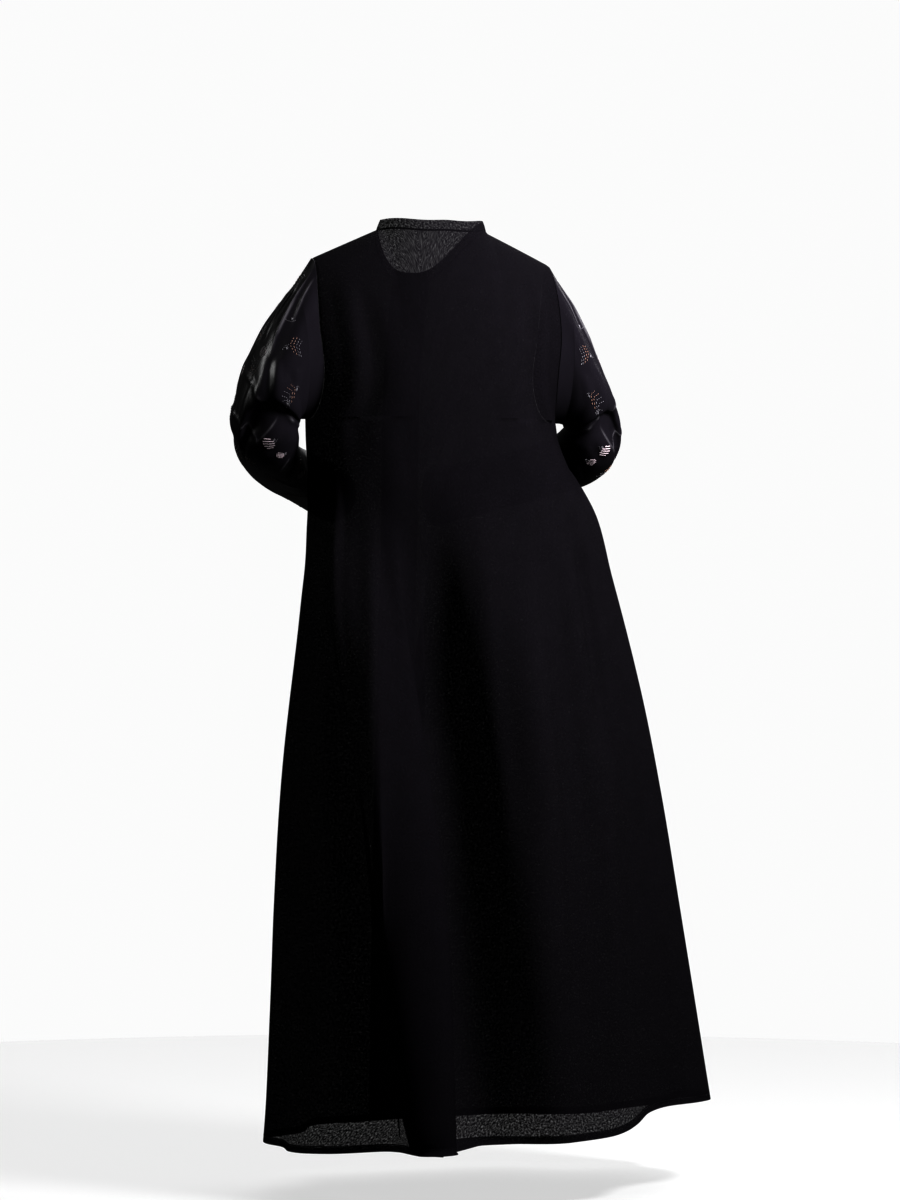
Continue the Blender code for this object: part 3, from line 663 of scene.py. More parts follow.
def lengths_along(grid):
    """Distance of each point from its column's first point, along the column."""
    return lengths_across(grid.swapaxes(0, 1)).swapaxes(0, 1)


def crease_curve(crease, place):
    """Points of a crease on the form: a curve through its middle place."""
    start, middle, end = (np.array(spot, dtype=float) for spot in (crease.start, crease.middle, crease.end))
    curve = []
    for step in range(CREASE_STEPS + 1):
        t = step / CREASE_STEPS
        spot = 2 * (t - 0.5) * (t - 1.0) * start + 4 * t * (1.0 - t) * middle + 2 * t * (t - 0.5) * end
        curve.append(place(*spot))
    return np.array(curve)


def crease_heights(grid, creases, place):
    """How far all the creases carry each point of a grid out of the form, and where their sharp
    crests run, from 0 to 1: the mask of the painted highlight along them."""
    flat = grid.reshape(-1, 3)
    heights = np.zeros(len(flat))
    highlight_mask = np.zeros(len(flat))
    for crease in creases:
        curve = crease_curve(crease, place)
        low = curve.min(axis=0) - crease.width
        high = curve.max(axis=0) + crease.width
        near = np.all((flat > low) & (flat < high), axis=1)
        chosen = flat[near]
        if len(chosen) == 0:
            continue
        best = np.full(len(chosen), np.inf)
        where = np.zeros(len(chosen))
        for step in range(CREASE_STEPS):
            run = curve[step + 1] - curve[step]
            t = np.clip((chosen - curve[step]) @ run / max(run @ run, 1e-12), 0.0, 1.0)
            distance = np.linalg.norm(chosen - curve[step] - t[:, None] * run, axis=1)
            closer = distance < best
            best = np.where(closer, distance, best)
            where = np.where(closer, (step + t) / CREASE_STEPS, where)
        taper = smooth(np.minimum(where, 1.0 - where) / TAPER_SHARE)
        away = np.clip(best / crease.width, 0.0, 1.0)
        profile = (1.0 - away) ** 2 if crease.crest == "sharp" else (1.0 - away ** 2) ** 2
        heights[near] += crease.height * taper * profile
        # the mask of the painted highlight along each sharp crest
        if crease.crest == "sharp":
            highlight_mask[near] = np.maximum(highlight_mask[near], taper * (1.0 - smooth(best / HIGHLIGHT_WIDTH)))
    return eased(heights.reshape(grid.shape[:2])), highlight_mask.reshape(grid.shape[:2])


def eased(heights):
    """Heights averaged with their neighbours', so that a crest runs smoothly across the grid."""
    padded = np.pad(heights, 1, mode="edge")
    down = 0.25 * padded[:-2] + 0.5 * padded[1:-1] + 0.25 * padded[2:]
    return 0.25 * down[:, :-2] + 0.5 * down[:, 1:-1] + 0.25 * down[:, 2:]


# ---- the finished surface of each piece ----
Surface = namedtuple("Surface", "points normals")


def square_to_seams(normals, columns, levels):
    """Turn the directions at the seams into the seam's own plane, so that two rims stay parallel."""
    at_side = np.abs(columns) > EDGE_COLUMN
    below = (levels <= 0.0)[:, None]
    top = np.zeros(len(levels), bool)
    top[-1] = True
    shoulder = top[:, None] & (np.abs(columns) >= NECK_COLUMN - NECK_MARGIN)
    normals[..., 1] = np.where((at_side & below) | shoulder, 0.0, normals[..., 1])
    inward = at_side & ~below & (normals[..., 0] * columns < 0.0)
    normals[..., 0] = np.where(inward, 0.0, normals[..., 0])
    return unit(normals)


def drawn_across(grid, columns, levels):
    """How far the back's cloth is drawn sideways beside its largest folds."""
    angle = 90.0 * columns
    lowest = hem_drop(angle)
    drop = UNDERARM_DROP + (lowest - UNDERARM_DROP) * np.clip(-levels, 0.0, 1.0)[:, None]
    slide = np.zeros(columns.shape)
    for draw in SKIRT_DRAWS:
        share = smooth((drop - draw.top) / (draw.full - draw.top))
        slide += draw.reach * share * bump(angle - draw.angle, draw.spread)
    return unit(steps_past(grid, 1)) * slide[..., None]


def panel_surface(back, side):
    """The outer face of the back, or of the front on one side."""
    levels = body_levels()
    columns = back_columns(levels) if back else front_columns(side, levels)
    if not back and side > 0:
        columns = columns[:, ::-1]
    grid = body_point(back, columns, levels[:, None])
    normals = square_to_seams(grid_normals(grid), columns, levels)

    from_first = lengths_across(grid)
    from_last = from_first[:, -1:] - from_first
    if back:
        from_seam = np.minimum(from_first, from_last)
    else:
        from_seam = from_first if side < 0 else from_last
    along = lengths_along(grid)
    above = levels > 0.0
    from_shoulder = np.where(np.abs(columns) > NECK_COLUMN, along[-1:] - along, FAR)
    from_underarm = np.hypot(from_seam, along[np.argmax(above)] - along)
    from_armhole = np.where(above[:, None], from_seam, from_underarm)
    fade = smooth(from_armhole / CREASE_FADE) * smooth(from_shoulder / CREASE_FADE)
    height = crease_heights(grid, BODY_CREASES, place_on_body)[0] * fade
    height -= SEAM_ROLL * (1.0 - smooth(np.minimum(from_seam, from_shoulder) / SEAM_ROLL_WIDTH))
    if not back and side < 0:
        reach = (-grid[..., 0] - LAP_EASE_START * LAP_HALF_WIDTH) / LAP_EASE
        height += LAP_STEP * (1.0 - smooth(reach))
    points = grid + normals * height[..., None]
    if back:
        points += drawn_across(grid, columns, levels)
    return Surface(points, grid_normals(points)), columns


def sleeve_fold_height(degrees, station):
    """How far the folds along a sleeve carry it out from its plain rings."""
    height = np.zeros(np.broadcast(degrees, station).shape)
    for fold in SLEEVE_FOLDS:
        share = np.clip((station - fold.first) / (fold.last - fold.first), 0.0, 1.0)
        centre = fold.first_angle + (fold.last_angle - fold.first_angle) * share
        across = bump(angle_between(degrees, centre), fold.spread)
        height = height + fold.depth * np.sin(np.pi * share) * across
    return height


def sleeve_rings(side, stations, degrees):
    """Plain rings of a sleeve, from the armhole to the cuff."""
    rows = SLEEVES["left" if side > 0 else "right"]

    def ends(at):
        row = read_table(rows, at)
        return (points_of(side * row.outer_x, row.outer_y, row.outer_z),
                points_of(side * row.inner_x, row.inner_y, row.inner_z), row.half_depth)

    outer, inner, half_depth = ends(stations)
    before = sum(ends(np.maximum(stations - 0.5, 1.0))[:2]) / 2.0
    after = sum(ends(np.minimum(stations + 0.5, float(LAST_STATION)))[:2]) / 2.0
    heading = unit(after - before)
    ease = smooth(stations / HEADING_EASE)[:, None]
    heading = unit(np.array([side, 0.0, -HEADING_DROP]) * (1.0 - ease) + heading * ease)
    spoke = (outer - inner) / 2.0
    forward = unit(np.cross(heading, spoke)) * side
    turn = np.radians(degrees)
    rings = ((outer + inner) / 2.0)[:, None] + spoke[:, None] * np.cos(turn)[None, :, None]
    rings = rings + (forward * half_depth[:, None])[:, None] * np.sin(turn)[None, :, None]
    level = 0.5 + 0.5 * np.cos(turn)
    at_front = (degrees % 360.0) < 180.0
    edge = np.where(at_front[:, None], body_point(False, side, level), body_point(True, side, level))
    ease = smooth(stations)[:, None, None]
    rings = edge[None] * (1.0 - ease) + rings * ease
    rings[0] = edge
    return rings


def sleeve_columns(side):
    """Angles of the columns, once round, closer together where the sharp creases run."""
    fine = np.linspace(-180.0, 180.0, FINE_ANGLES)
    weight = np.ones(FINE_ANGLES)
    for gather in SLEEVE_GATHERS:
        weight += gather.extra * bump(fine - gather.angle, gather.spread)
    count = np.concatenate([[0.0], np.cumsum(0.5 * (weight[1:] + weight[:-1]))])
    columns = np.interp(np.linspace(0.0, count[-1], SLEEVE_CELLS + 1), count, fine)
    return columns if side > 0 else columns[::-1]


def cell_at(side, degrees):
    """The place among a sleeve's columns, which may lie between two, at an angle."""
    columns = sleeve_columns(side) * side
    return float(np.interp(angle_between(side * degrees, 0.0), columns, np.arange(SLEEVE_CELLS + 1)))


def sleeve_surface(side):
    """The outer face of a sleeve, with its seam on the inner line."""
    cuff = [LAST_STATION - rise / STATION_LENGTH for rise in reversed(HEM_ROWS)]
    middle = np.linspace(SEAM_RINGS[-1], cuff[0], SLEEVE_RINGS + 1)[1:-1]
    stations = np.concatenate([SEAM_RINGS, middle, cuff])
    degrees = sleeve_columns(side)[:-1]
    rings = sleeve_rings(side, stations, degrees)
    normals = grid_normals(rings, closed=True)
    along = unit(steps_past(rings, 0))
    station = stations[:, None]
    height = sleeve_fold_height(degrees, station)

    lip = read_table(ELBOW_LIP, degrees % 360.0)
    past_lip = (station - lip.station) / LIP_LENGTH

    def push(shape):
        return shape.reach * bump(past_lip - shape.centre, shape.spread)

    def place(angle, at):
        row = np.interp(at, stations, np.arange(len(stations)))
        return sample(rings, row, cell_at(side, angle))

    height = height + lip.strength * (push(LIP_SWELL) + push(LIP_SINK))
    slide = lip.strength * (push(LIP_SLIDE) + push(TUCK_SLIDE))
    # the sharp crests also give the mask of the satin's painted highlight
    relief, highlight_mask = crease_heights(rings, SLEEVE_CREASES, place)
    height = height + relief
    height = height * smooth(station / CREASE_START)
    at_cuff = (station - LAST_STATION + CUFF_CALM_LENGTH) / CUFF_CALM_LENGTH
    height = height * (1.0 - CUFF_CALM * smooth(at_cuff))
    height -= SEAM_ROLL * (1.0 - smooth(station * STATION_LENGTH / SEAM_ROLL_WIDTH))
    points = rings + normals * height[..., None] + along * slide[..., None]
    return Surface(points, grid_normals(points, closed=True)), stations, highlight_mask


def sample(grid, row, cell):
    """A point between the points of a sleeve's grid, which closes on itself."""
    low = min(int(row), len(grid) - 2)
    up = row - low
    first = int(math.floor(cell))
    right = cell - first
    columns = grid.shape[1]
    a, b = first % columns, (first + 1) % columns
    lower = grid[low, a] * (1.0 - right) + grid[low, b] * right
    upper = grid[low + 1, a] * (1.0 - right) + grid[low + 1, b] * right
    return lower * (1.0 - up) + upper * up


def neckband_surface(panels):
    """The narrow band, standing on the necklines and leaning in a little."""
    edge = []
    for name in ("front_left", "back", "front_right"):
        surface, columns = panels[name]
        nearest = NECK_COLUMN + (-NECK_MARGIN if name == "back" else NECK_MARGIN)
        edge.append(surface.points[-1][np.abs(columns[-1]) < nearest])
    edge = np.concatenate(edge)
    outward = unit(edge * np.array([1.0, 1.0, 0.0]))
    share = np.linspace(0.0, 1.0, BAND_ROWS + 1)[:, None, None]
    rise = -BAND_OVERLAP + (NECKBAND_HEIGHT + BAND_OVERLAP) * share
    lean = BAND_STEP + BAND_ROUND * np.sin(np.pi * share) - rise * NECKBAND_LEAN
    points = edge[None] + np.array([0.0, 0.0, 1.0]) * rise + outward * lean
    return Surface(points, grid_normals(points))


# ---- shader maths ----
class Wire:
    """A value in a material, so that maths on it reads as an expression."""

    def __init__(self, shader, socket):
        self.shader = shader
        self.socket = socket

    def maths(self, operation, first, second=0.0):
        return self.shader.node("ShaderNodeMath", {"operation": operation}, {0: first, 1: second})

    def __add__(self, other):
        return self.maths("ADD", self, other)

    def __radd__(self, other):
        return self.maths("ADD", other, self)

    def __sub__(self, other):
        return self.maths("SUBTRACT", self, other)

    def __mul__(self, other):
        return self.maths("MULTIPLY", self, other)

    def sine(self):
        return self.maths("SINE", self)


class Shader:
    """The nodes of a material or of the world, and the main one, which the others feed."""

    def __init__(self, owner, main, **constants):
        owner.use_nodes = True
        self.owner = owner
        self.tree = owner.node_tree
        self.main = self.tree.nodes[main]
        for socket, value in constants.items():
            self.feed(socket.replace("_", " "), value)

    def set(self, socket, value):
        if isinstance(value, Wire):
            self.tree.links.new(value.socket, socket)
        else:
            socket.default_value = value

    def node(self, kind, settings, inputs, output=0):
        """Add a node: its settings first, then its sockets, from values or wires."""
        made = self.tree.nodes.new(kind)
        for name, value in settings.items():
            setattr(made, name, value)
        for name, value in inputs.items():
            self.set(made.inputs[name], value)
        return Wire(self, made.outputs[output])

    def coordinates(self, output):
        return self.node("ShaderNodeTexCoord", {}, {}, output)

    def noise(self, vector, size, detail=2.0):
        """Soft noise whose features are about one size across."""
        inputs = {"Vector": vector, "Scale": 1.0 / size, "Detail": detail, "Roughness": 0.55}
        return self.node("ShaderNodeTexNoise", {}, inputs)

    def mix_colour(self, share, first, second):
        return self.node("ShaderNodeMix", {"data_type": "RGBA"}, {0: share, 6: first, 7: second}, 2)

    def feed(self, socket, value):
        self.set(self.main.inputs[socket], value)

    def raise_surface(self, height, distance):
        inputs = {"Height": height, "Distance": distance, "Strength": 1.0}
        self.feed("Normal", self.node("ShaderNodeBump", {}, inputs))


def new_material(name, **constants):
    return Shader(bpy.data.materials.new(name), "Principled BSDF", **constants)


def cloth_material(name, dark, light, roughness, weave, grain, relief, cover=None, painted_highlight_colour=None, **constants):
    """Woven cloth: threads both ways, the pebble of twisted yarn, and a faint cloudiness. A sheer
    cloth covers what is behind it by the given share, more where the yarn is thick. A smooth cloth
    has a painted highlight along its sharp crests."""
    shader = new_material(name, **constants)
    place = shader.coordinates("UV")
    across = shader.node("ShaderNodeSeparateXYZ", {}, {0: place}, 0)
    along = shader.node("ShaderNodeSeparateXYZ", {}, {0: place}, 1)
    threads = (across * (math.tau / weave)).sine() * (along * (math.tau / weave)).sine()
    pebble = shader.noise(place, grain)
    cloud = shader.noise(place, CLOUD_SIZE, detail=3.0)
    colour = shader.mix_colour(cloud * 0.5 + pebble * 0.5, dark, light)
    # a pale painted highlight mixed in along the sharp crests, stronger where the cloud is lighter
    if painted_highlight_colour:
        crest = shader.node("ShaderNodeAttribute", {"attribute_name": "crest"}, {}, 2)
        colour = shader.mix_colour(crest * (cloud + HIGHLIGHT_LEAST_SHARE), colour, painted_highlight_colour)
    shader.feed("Base Color", colour)
    shader.feed("Roughness", roughness + (cloud - 0.5) * 0.12)
    shader.raise_surface(threads * 0.25 + pebble, relief)
    if cover:
        speckle = shader.noise(place, SHEER_GRAIN, detail=1.0)
        shader.feed("Alpha", cover + (speckle - 0.5) * SHEER_CONTRAST)
    return shader.owner


def crepe():
    """Matte crepe, sheer enough that one layer lets a little light through."""
    return cloth_material(
        "black_crepe", dark=(0.0058, 0.0051, 0.0066, 1.0), light=(0.0112, 0.0098, 0.0128, 1.0),
        roughness=0.70, weave=0.0009, grain=0.0016, relief=0.00012, cover=0.77, Specular_IOR_Level=0.01)


def satin():
    """The sleeves' smoother cloth, with a painted highlight along its sharp crests."""
    return cloth_material(
        "black_satin", dark=(0.0078, 0.0068, 0.0092, 1.0), light=(0.0150, 0.0132, 0.0174, 1.0),
        # the last colour is the pale painted highlight along the sharp crests
        roughness=0.35, weave=0.0006, grain=0.0011, relief=0.00005, painted_highlight_colour=(0.085, 0.082, 0.089, 1.0),
        Specular_IOR_Level=0.16)


def thread(name, dark, light, roughness):
    """Glossy yarn with a twist."""
    shader = new_material(name, Specular_IOR_Level=0.55)
    place = shader.coordinates("Object")
    fibre = shader.noise(place, FIBRE_SIZE)
    patch = shader.noise(place, PATCH_SIZE)
    shader.feed("Base Color", shader.mix_colour(fibre * 0.6 + patch * 0.4, dark, light))
    shader.feed("Roughness", roughness + (fibre - 0.5) * 0.2)
    shader.raise_surface(fibre, 0.0001)
    return shader.owner


# ---- making the pieces ----
def place_in_scene(name, data):
    """A new object of the scene, made from its data."""
    thing = bpy.data.objects.new(name, data)
    bpy.context.scene.collection.objects.link(thing)
    return thing


def finished(name, mesh, material, smooth_shaded=True):
    """The object of a finished mesh, in the scene."""
    data = bpy.data.meshes.new(name)
    mesh.to_mesh(data)
    mesh.free()
    if smooth_shaded:
        data.shade_smooth()
    data.materials.append(material)
    return place_in_scene(name, data)


def texture_places(grid):
    """Metres along the cloth at each point, across from the middle column and along from the first row."""
    across = lengths_across(grid)
    middle = across.shape[1] // 2
    return np.stack([across - across[:, middle:middle + 1], lengths_along(grid)], axis=-1)


def make_cloth(name, grid, material, closed=False, highlight_mask=None):
    """A sheet of cloth on a grid of points. Its sharp crests, where it has any, become the attribute
    that the material reads to paint a highlight along them."""
    if closed:
        grid = np.concatenate([grid, grid[:, :1]], axis=1)
    rows, columns = grid.shape[:2]
    mesh = bmesh.new()
    bmesh.ops.create_grid(mesh, x_segments=columns - 1, y_segments=rows - 1, size=1.0)
    for vert, point in zip(mesh.verts, grid.reshape(-1, 3)):
        vert.co = point
    layer = mesh.loops.layers.uv.new("cloth")
    mesh.verts.index_update()
    if highlight_mask is not None:
        # the mask of the painted crest highlight, kept on the points for the material
        crest = mesh.verts.layers.float.new("crest")
        for vert, share in zip(mesh.verts, np.concatenate([highlight_mask, highlight_mask[:, :1]], axis=1).ravel()):
            vert[crest] = share
    flat = texture_places(grid).reshape(-1, 2)
    for face in mesh.faces:
        for corner in face.loops:
            corner[layer].uv = flat[corner.vert.index]
    if closed:
        bmesh.ops.remove_doubles(mesh, verts=mesh.verts[:], dist=1e-6)
    piece = finished(name, mesh, material)
    solidify = piece.modifiers.new("cloth", "SOLIDIFY")
    solidify.thickness = CLOTH
    solidify.offset = -1.0
    return piece


def turned_in(surface, first_rows):
    """The turned-up layer inside an edge: the edge's own rows again, from the top of the turn."""
    rows = range(len(HEM_ROWS)) if first_rows else range(-1, -len(HEM_ROWS) - 1, -1)
    layer = [surface.points[row] - surface.normals[row] * TURN_DEPTH for row in rows]
    return np.array(layer[::-1] if first_rows else layer)


def make_panel(name, surface, material):
    return make_cloth(name, np.concatenate([turned_in(surface, True), surface.points]), material)


def make_sleeve(name, surface, highlight_mask, material):
    points = np.concatenate([surface.points, turned_in(surface, False)])
    # no painted highlight on the turned-up cuff
    highlight_mask = np.concatenate([highlight_mask, np.zeros((len(HEM_ROWS), highlight_mask.shape[1]))])
    return make_cloth(name, points, material, closed=True, highlight_mask=highlight_mask)


# ---- stitches ----
def thread_matrix(start, end, normal, radius):
    """Where a unit ball goes to become a stitch between two points."""
    run = end - start
    direction = run.normalized()
    side = direction.cross(normal).normalized()
    up = side.cross(direction).normalized()
    turn = Matrix((direction, side, up)).transposed().to_4x4()
    size = Matrix.Diagonal((run.length / 2.0, radius, radius, 1.0))
    return Matrix.Translation((start + end) / 2.0) @ turn @ size


def joined_threads(name, stitches, material):
    """One object of many stitches, each with two ends, a direction outward and a radius."""
    whole = bmesh.new()
    for first in range(0, len(stitches), STITCH_BATCH):
        part = bmesh.new()
        for start, end, normal, radius in stitches[first:first + STITCH_BATCH]:
            matrix = thread_matrix(Vector(start), Vector(end), Vector(normal), radius)
            bmesh.ops.create_uvsphere(
                part, u_segments=THREAD_SIDES, v_segments=THREAD_RINGS, radius=1.0, matrix=matrix)
        data = bpy.data.meshes.new(name + "_part")
        part.to_mesh(data)
        part.free()
        whole.from_mesh(data)
        bpy.data.meshes.remove(data)
    return finished(name, whole, material)


def stitch_row(line, normals, closed=False):
    """Stitches at an even pitch along a line of points."""
    if closed:
        line = np.concatenate([line, line[:1]])
        normals = np.concatenate([normals, normals[:1]])
    length = lengths_across(line[None])[0]

    def at(distance):
        return read_along(distance, length, line), unit(read_along(distance, length, normals))

    stitches = []
    for number in range(int(length[-1] / STITCH_PITCH)):
        start, normal = at(number * STITCH_PITCH)
        end, _ = at(number * STITCH_PITCH + STITCH_LENGTH)
        lift = normal * STITCH_LIFT
        stitches.append((start + lift, end + lift, normal, STITCH_RADIUS))
    return stitches


def read_along(distance, lengths, vectors):
    """The vector at a distance along a line, from those at its points."""
    return np.array([np.interp(distance, lengths, vectors[:, axis]) for axis in range(3)])


def line_beside_edge(surface, side, distance):
    """A line down a front and its directions outward, a distance in from its free edge."""
    order = slice(None, None, -1 if side < 0 else 1)
    points = surface.points[:, order]
    normals = surface.normals[:, order]
    lengths = lengths_across(points)
    line = [read_along(distance, *row) for row in zip(lengths, points)]
    facing = [read_along(distance, *row) for row in zip(lengths, normals)]
    return np.array(line), unit(np.array(facing))


# ---- embroidery ----
def leaf_dashes(foot, turn, pairs):
    """A herringbone leaf from its foot: dashed strokes on both sides of a midrib that nothing marks."""
    dashes = []
    for pair in pairs:
        share = (pair + LEAF_START) / LEAF_PAIRS
        swell = math.sin(math.pi * (LEAF_SWELL[0] + LEAF_SWELL[1] * share))
        reach = LEAF_STROKE * (LEAF_SHORTEST + (1.0 - LEAF_SHORTEST) * swell)
        for side in (-1, 1):
            slant = math.radians(LEAF_SLANT) * side
            along = reach * math.cos(slant)
            across = reach * math.sin(slant)
            for dash in STROKE_DASHES:
                ends = [(LEAF_LENGTH * share + along * at, across * at) for at in dash]
                dashes.append([foot + turned(*end, turn) for end in ends])
    return dashes


def disc_threads(radius, turn):
    """A round spot of satin stitch in bars: short threads side by side across each bar."""
    threads = []
    pitch = 2.0 * radius / DISC_BARS
    for bar in range(DISC_BARS):
        middle = -radius + pitch * (bar + 0.5)
        half = math.sqrt(max(radius ** 2 - middle ** 2, 0.0))
        count = max(int(2.0 * half / DISC_THREAD_PITCH), 1)
        for number in range(count):
            along = -half + 2.0 * half * (number + 0.5) / count
            reach = pitch * DISC_BAR_SHARE / 2.0
            threads.append([(along - DISC_SLANT, middle - reach), (along + DISC_SLANT, middle + reach)])
    return [[turned(*end, turn) for end in ends] for ends in threads]


def turned(along, across, turn):
    """A flat place, turned about the origin."""
    cosine = math.cos(math.radians(turn))
    sine = math.sin(math.radians(turn))
    return np.array((along * cosine - across * sine, along * sine + across * cosine))


def stem_threads(sprig):
    """Stem stitches along a bent line from the foot of a sprig, with short bars beside them, and the
    place and turn of its tip."""
    count = max(int(sprig.stem / STEM_STITCH), 2)
    line = []
    for step in range(count + 1):
        t = step / count
        line.append(turned(sprig.stem * t, sprig.bend * math.sin(math.pi * t), sprig.turn))
    threads = [(a, a + STEM_STITCH_SHARE * (b - a)) for a, b in zip(line, line[1:])]
    for bar in range(STEM_BARS):
        along = sprig.stem * STEM_BARS_START + STEM_BAR_PITCH * bar
        bent = sprig.bend * math.sin(math.pi * along / sprig.stem)
        ends = [bent - math.copysign(reach, sprig.bend) for reach in (STEM_BAR_GAP, STEM_BAR_LENGTH)]
        threads.append([turned(along, across, sprig.turn) for across in ends])
    last_step = line[-1] - line[-2]
    return threads, line[-1], math.degrees(math.atan2(last_step[1], last_step[0]))


def embroider(side, surface, stations):
    """Stitches of all the sprigs of a sleeve, by colour."""
    found = {colour: [] for colour in EMBROIDERY_THREADS}
    for sprig in SPRIGS:
        row = np.interp(sprig.station, stations, np.arange(len(stations)))
        cell = cell_at(side, sprig.degrees)
        column = surface.points[:, int(round(cell)) % SLEEVE_CELLS]
        ring = np.tile(surface.points[int(round(row))], (3, 1))
        rows_at = lengths_across(column[None])[0]
        cells_at = lengths_across(ring[None])[0]
        cells = np.arange(len(ring)) - SLEEVE_CELLS
        from_row = np.interp(row, np.arange(len(rows_at)), rows_at)
        from_cell = np.interp(cell, cells, cells_at)

        def on_cloth(flat):
            at = (float(np.interp(from_row + flat[0], rows_at, np.arange(len(rows_at)))),
                  float(np.interp(from_cell + side * flat[1], cells_at, cells)))
            normal = unit(sample(surface.normals, *at))
            return sample(surface.points, *at) + normal * EMBROIDERY_LIFT, normal

        def sew(colour, threads, radius):
            for first, last in threads:
                start, normal = on_cloth(first)
                end, _ = on_cloth(last)
                found[colour].append((start, end, normal, radius))

        threads, tip, tip_turn = stem_threads(sprig)
        sew("grey", threads, STEM_THREAD)
        if sprig.leaf:
            copper_pairs = range(LEAF_COPPER_PAIRS)
            grey_pairs = range(LEAF_COPPER_PAIRS, LEAF_PAIRS)
            sew("copper", leaf_dashes(tip, tip_turn, copper_pairs), LEAF_THREAD)
            sew("grey", leaf_dashes(tip, tip_turn, grey_pairs), LEAF_THREAD)
        if sprig.disc:
            sew("pale", disc_threads(sprig.disc, sprig.turn + DISC_TURN), DISC_THREAD)
    return found


# ---- the whole garment ----
def declare(piece, slot, nodes=()):
    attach(piece, "root")
    if nodes:
        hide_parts(*nodes)


def build_body():
    cloth = crepe()
    panels = {
        "back": panel_surface(True, 0),
        "front_left": panel_surface(False, 1),
        "front_right": panel_surface(False, -1),
    }
    pieces = {}
    stitches = []
    for name, (surface, _) in panels.items():
        pieces[name] = make_panel(name + "_cloth", surface, cloth)
        declare(pieces[name], "black_crepe", [name])
        stitches += stitch_row(surface.points[STITCHED_HEM_ROW], surface.normals[STITCHED_HEM_ROW])
    for name, side in (("front_left", 1), ("front_right", -1)):
        stitches += stitch_row(*line_beside_edge(panels[name][0], side, EDGE_STITCH))
    band = neckband_surface(panels)
    pieces["neckband"] = make_cloth("neckband_cloth", band.points, cloth)
    declare(pieces["neckband"], "black_crepe", ["neckband"])
    stitches += stitch_row(band.points[1], band.normals[1])
    sewing = joined_threads("body_stitching", stitches, thread("black_thread", *BLACK_THREAD, 0.45))
    declare(sewing, "black_crepe")
    return pieces, sewing


def build_sleeves():
    cloth = satin()
    yarn = {colour: thread(colour + "_thread", *look) for colour, look in EMBROIDERY_THREADS.items()}
    dark = thread("sleeve_thread", *BLACK_THREAD, 0.40)
    pieces = {}
    for name, side in (("left", 1), ("right", -1)):
        surface, stations, highlight_mask = sleeve_surface(side)
        sleeve = make_sleeve("sleeve_" + name + "_cloth", surface, highlight_mask, cloth)
        declare(sleeve, "black_satin", ["sleeve_" + name])
        row = -1 - STITCHED_HEM_ROW
        stitches = stitch_row(surface.points[row], surface.normals[row], closed=True)
        cuff = joined_threads("cuff_stitching_" + name, stitches, dark)
        declare(cuff, "black_satin")
        sewn = [cuff]
        for colour, sewn_threads in embroider(side, surface, stations).items():
            motif = joined_threads("embroidery_" + colour + "_" + name, sewn_threads, yarn[colour])
            declare(motif, colour + "_thread")
            sewn.append(motif)
        pieces[name] = (sleeve, sewn)
    return pieces


# ---- the setting ----
def make_floor():
    mesh = bmesh.new()
    place = Matrix.Translation((0, 0, FLOOR_HEIGHT))
    bmesh.ops.create_circle(mesh, cap_ends=True, segments=160, radius=FLOOR_RADIUS, matrix=place)
    shader = new_material(
        "pale_floor", Base_Color=FLOOR_TONE, Roughness=0.8, Specular_IOR_Level=0.1,
        Emission_Color=(1.0, 1.0, 1.0, 1.0), Emission_Strength=FLOOR_GLOW)
    floor = finished("floor", mesh, shader.owner, smooth_shaded=False)
    floor.visible_diffuse = False
    floor.visible_glossy = False


def make_world():
    """The wall's tone for the camera, and a share of it for all other light."""
    world = bpy.data.worlds.new("pale_studio")
    shader = Shader(world, "Background", Color=(WALL_TONE, WALL_TONE, WALL_TONE, 1.0))
    seen = shader.node("ShaderNodeLightPath", {}, {}, "Is Camera Ray")
    shader.feed("Strength", seen * (1.0 - ROOM_LIGHT) + ROOM_LIGHT)
    bpy.context.scene.world = world


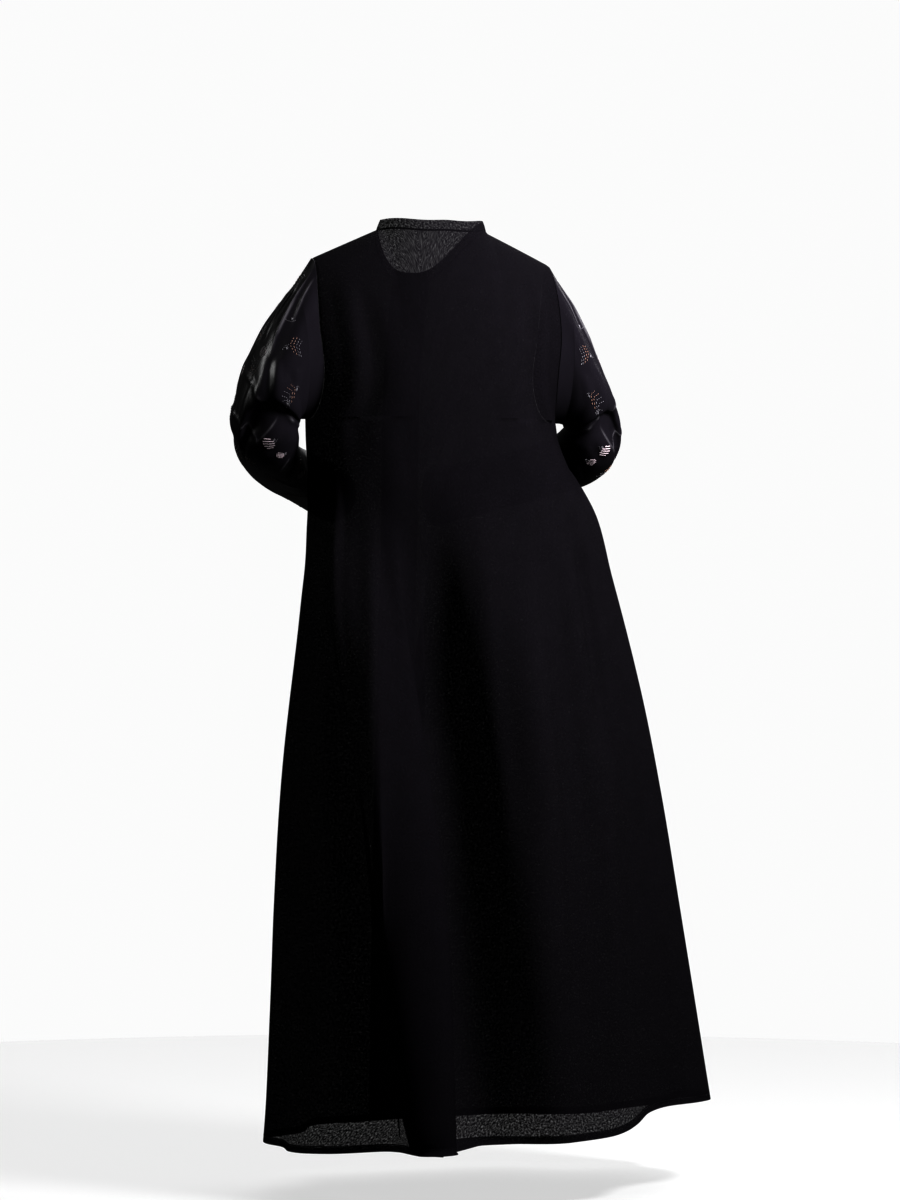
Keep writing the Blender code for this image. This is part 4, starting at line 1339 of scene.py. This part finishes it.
def aim(thing, at, target):
    thing.location = at
    thing.rotation_euler = (Vector(target) - Vector(at)).to_track_quat("-Z", "Y").to_euler()


def make_lights(backward, rightward):
    """A softbox for the folds, a strip that only the satin's gloss catches, and a wide light for the
    front. Each looks at the middle of the garment."""
    upward = Vector((0.0, 0.0, 1.0))
    lights = {}
    for lamp in LAMPS:
        data = bpy.data.lights.new(lamp.name, lamp.kind)
        data.energy = lamp.energy
        lights[lamp.name] = place_in_scene(lamp.name, data)
        at = backward * lamp.backward + rightward * lamp.rightward + upward * lamp.upward
        aim(lights[lamp.name], at, (0.0, 0.0, LIGHT_TARGET))
    lights["softbox"].data.shape = "DISK"
    lights["softbox"].data.size = SOFTBOX_SIZE
    lights["softbox"].visible_glossy = False
    lights["strip"].data.angle = math.radians(STRIP_ANGLE)
    lights["strip"].visible_diffuse = False
    lights["front"].data.angle = math.radians(FRONT_ANGLE)


def make_camera():
    azimuth = math.radians(CAMERA_AZIMUTH)
    backward = Vector((math.sin(azimuth), -math.cos(azimuth), 0.0))
    rightward = Vector((math.cos(azimuth), math.sin(azimuth), 0.0))
    scale = CAMERA_DISTANCE / FOCAL_PIXELS
    target = rightward * (IMAGE_WIDTH / 2.0 - ORIGIN_PIXEL_X) * scale
    target.z = CAMERA_HEIGHT + (HORIZON_PIXEL_Y - IMAGE_HEIGHT / 2.0) * scale
    data = bpy.data.cameras.new("camera")
    data.sensor_width = SENSOR
    data.lens = FOCAL_PIXELS * SENSOR / IMAGE_HEIGHT
    camera = place_in_scene("camera", data)
    aim(camera, backward * CAMERA_DISTANCE + Vector((0.0, 0.0, CAMERA_HEIGHT)), target)
    bpy.context.scene.camera = camera
    return backward, rightward


def main():
    body, sewing = build_body()
    sleeves = build_sleeves()
    for sleeve, sewn in sleeves.values():
        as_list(sewn)
    make_floor()
    make_world()
    backward, rightward = make_camera()
    make_lights(backward, rightward)


main()
bpy.context.scene.view_settings.view_transform = "Standard"
bpy.context.scene.view_settings.gamma = SHADOW_GRADE
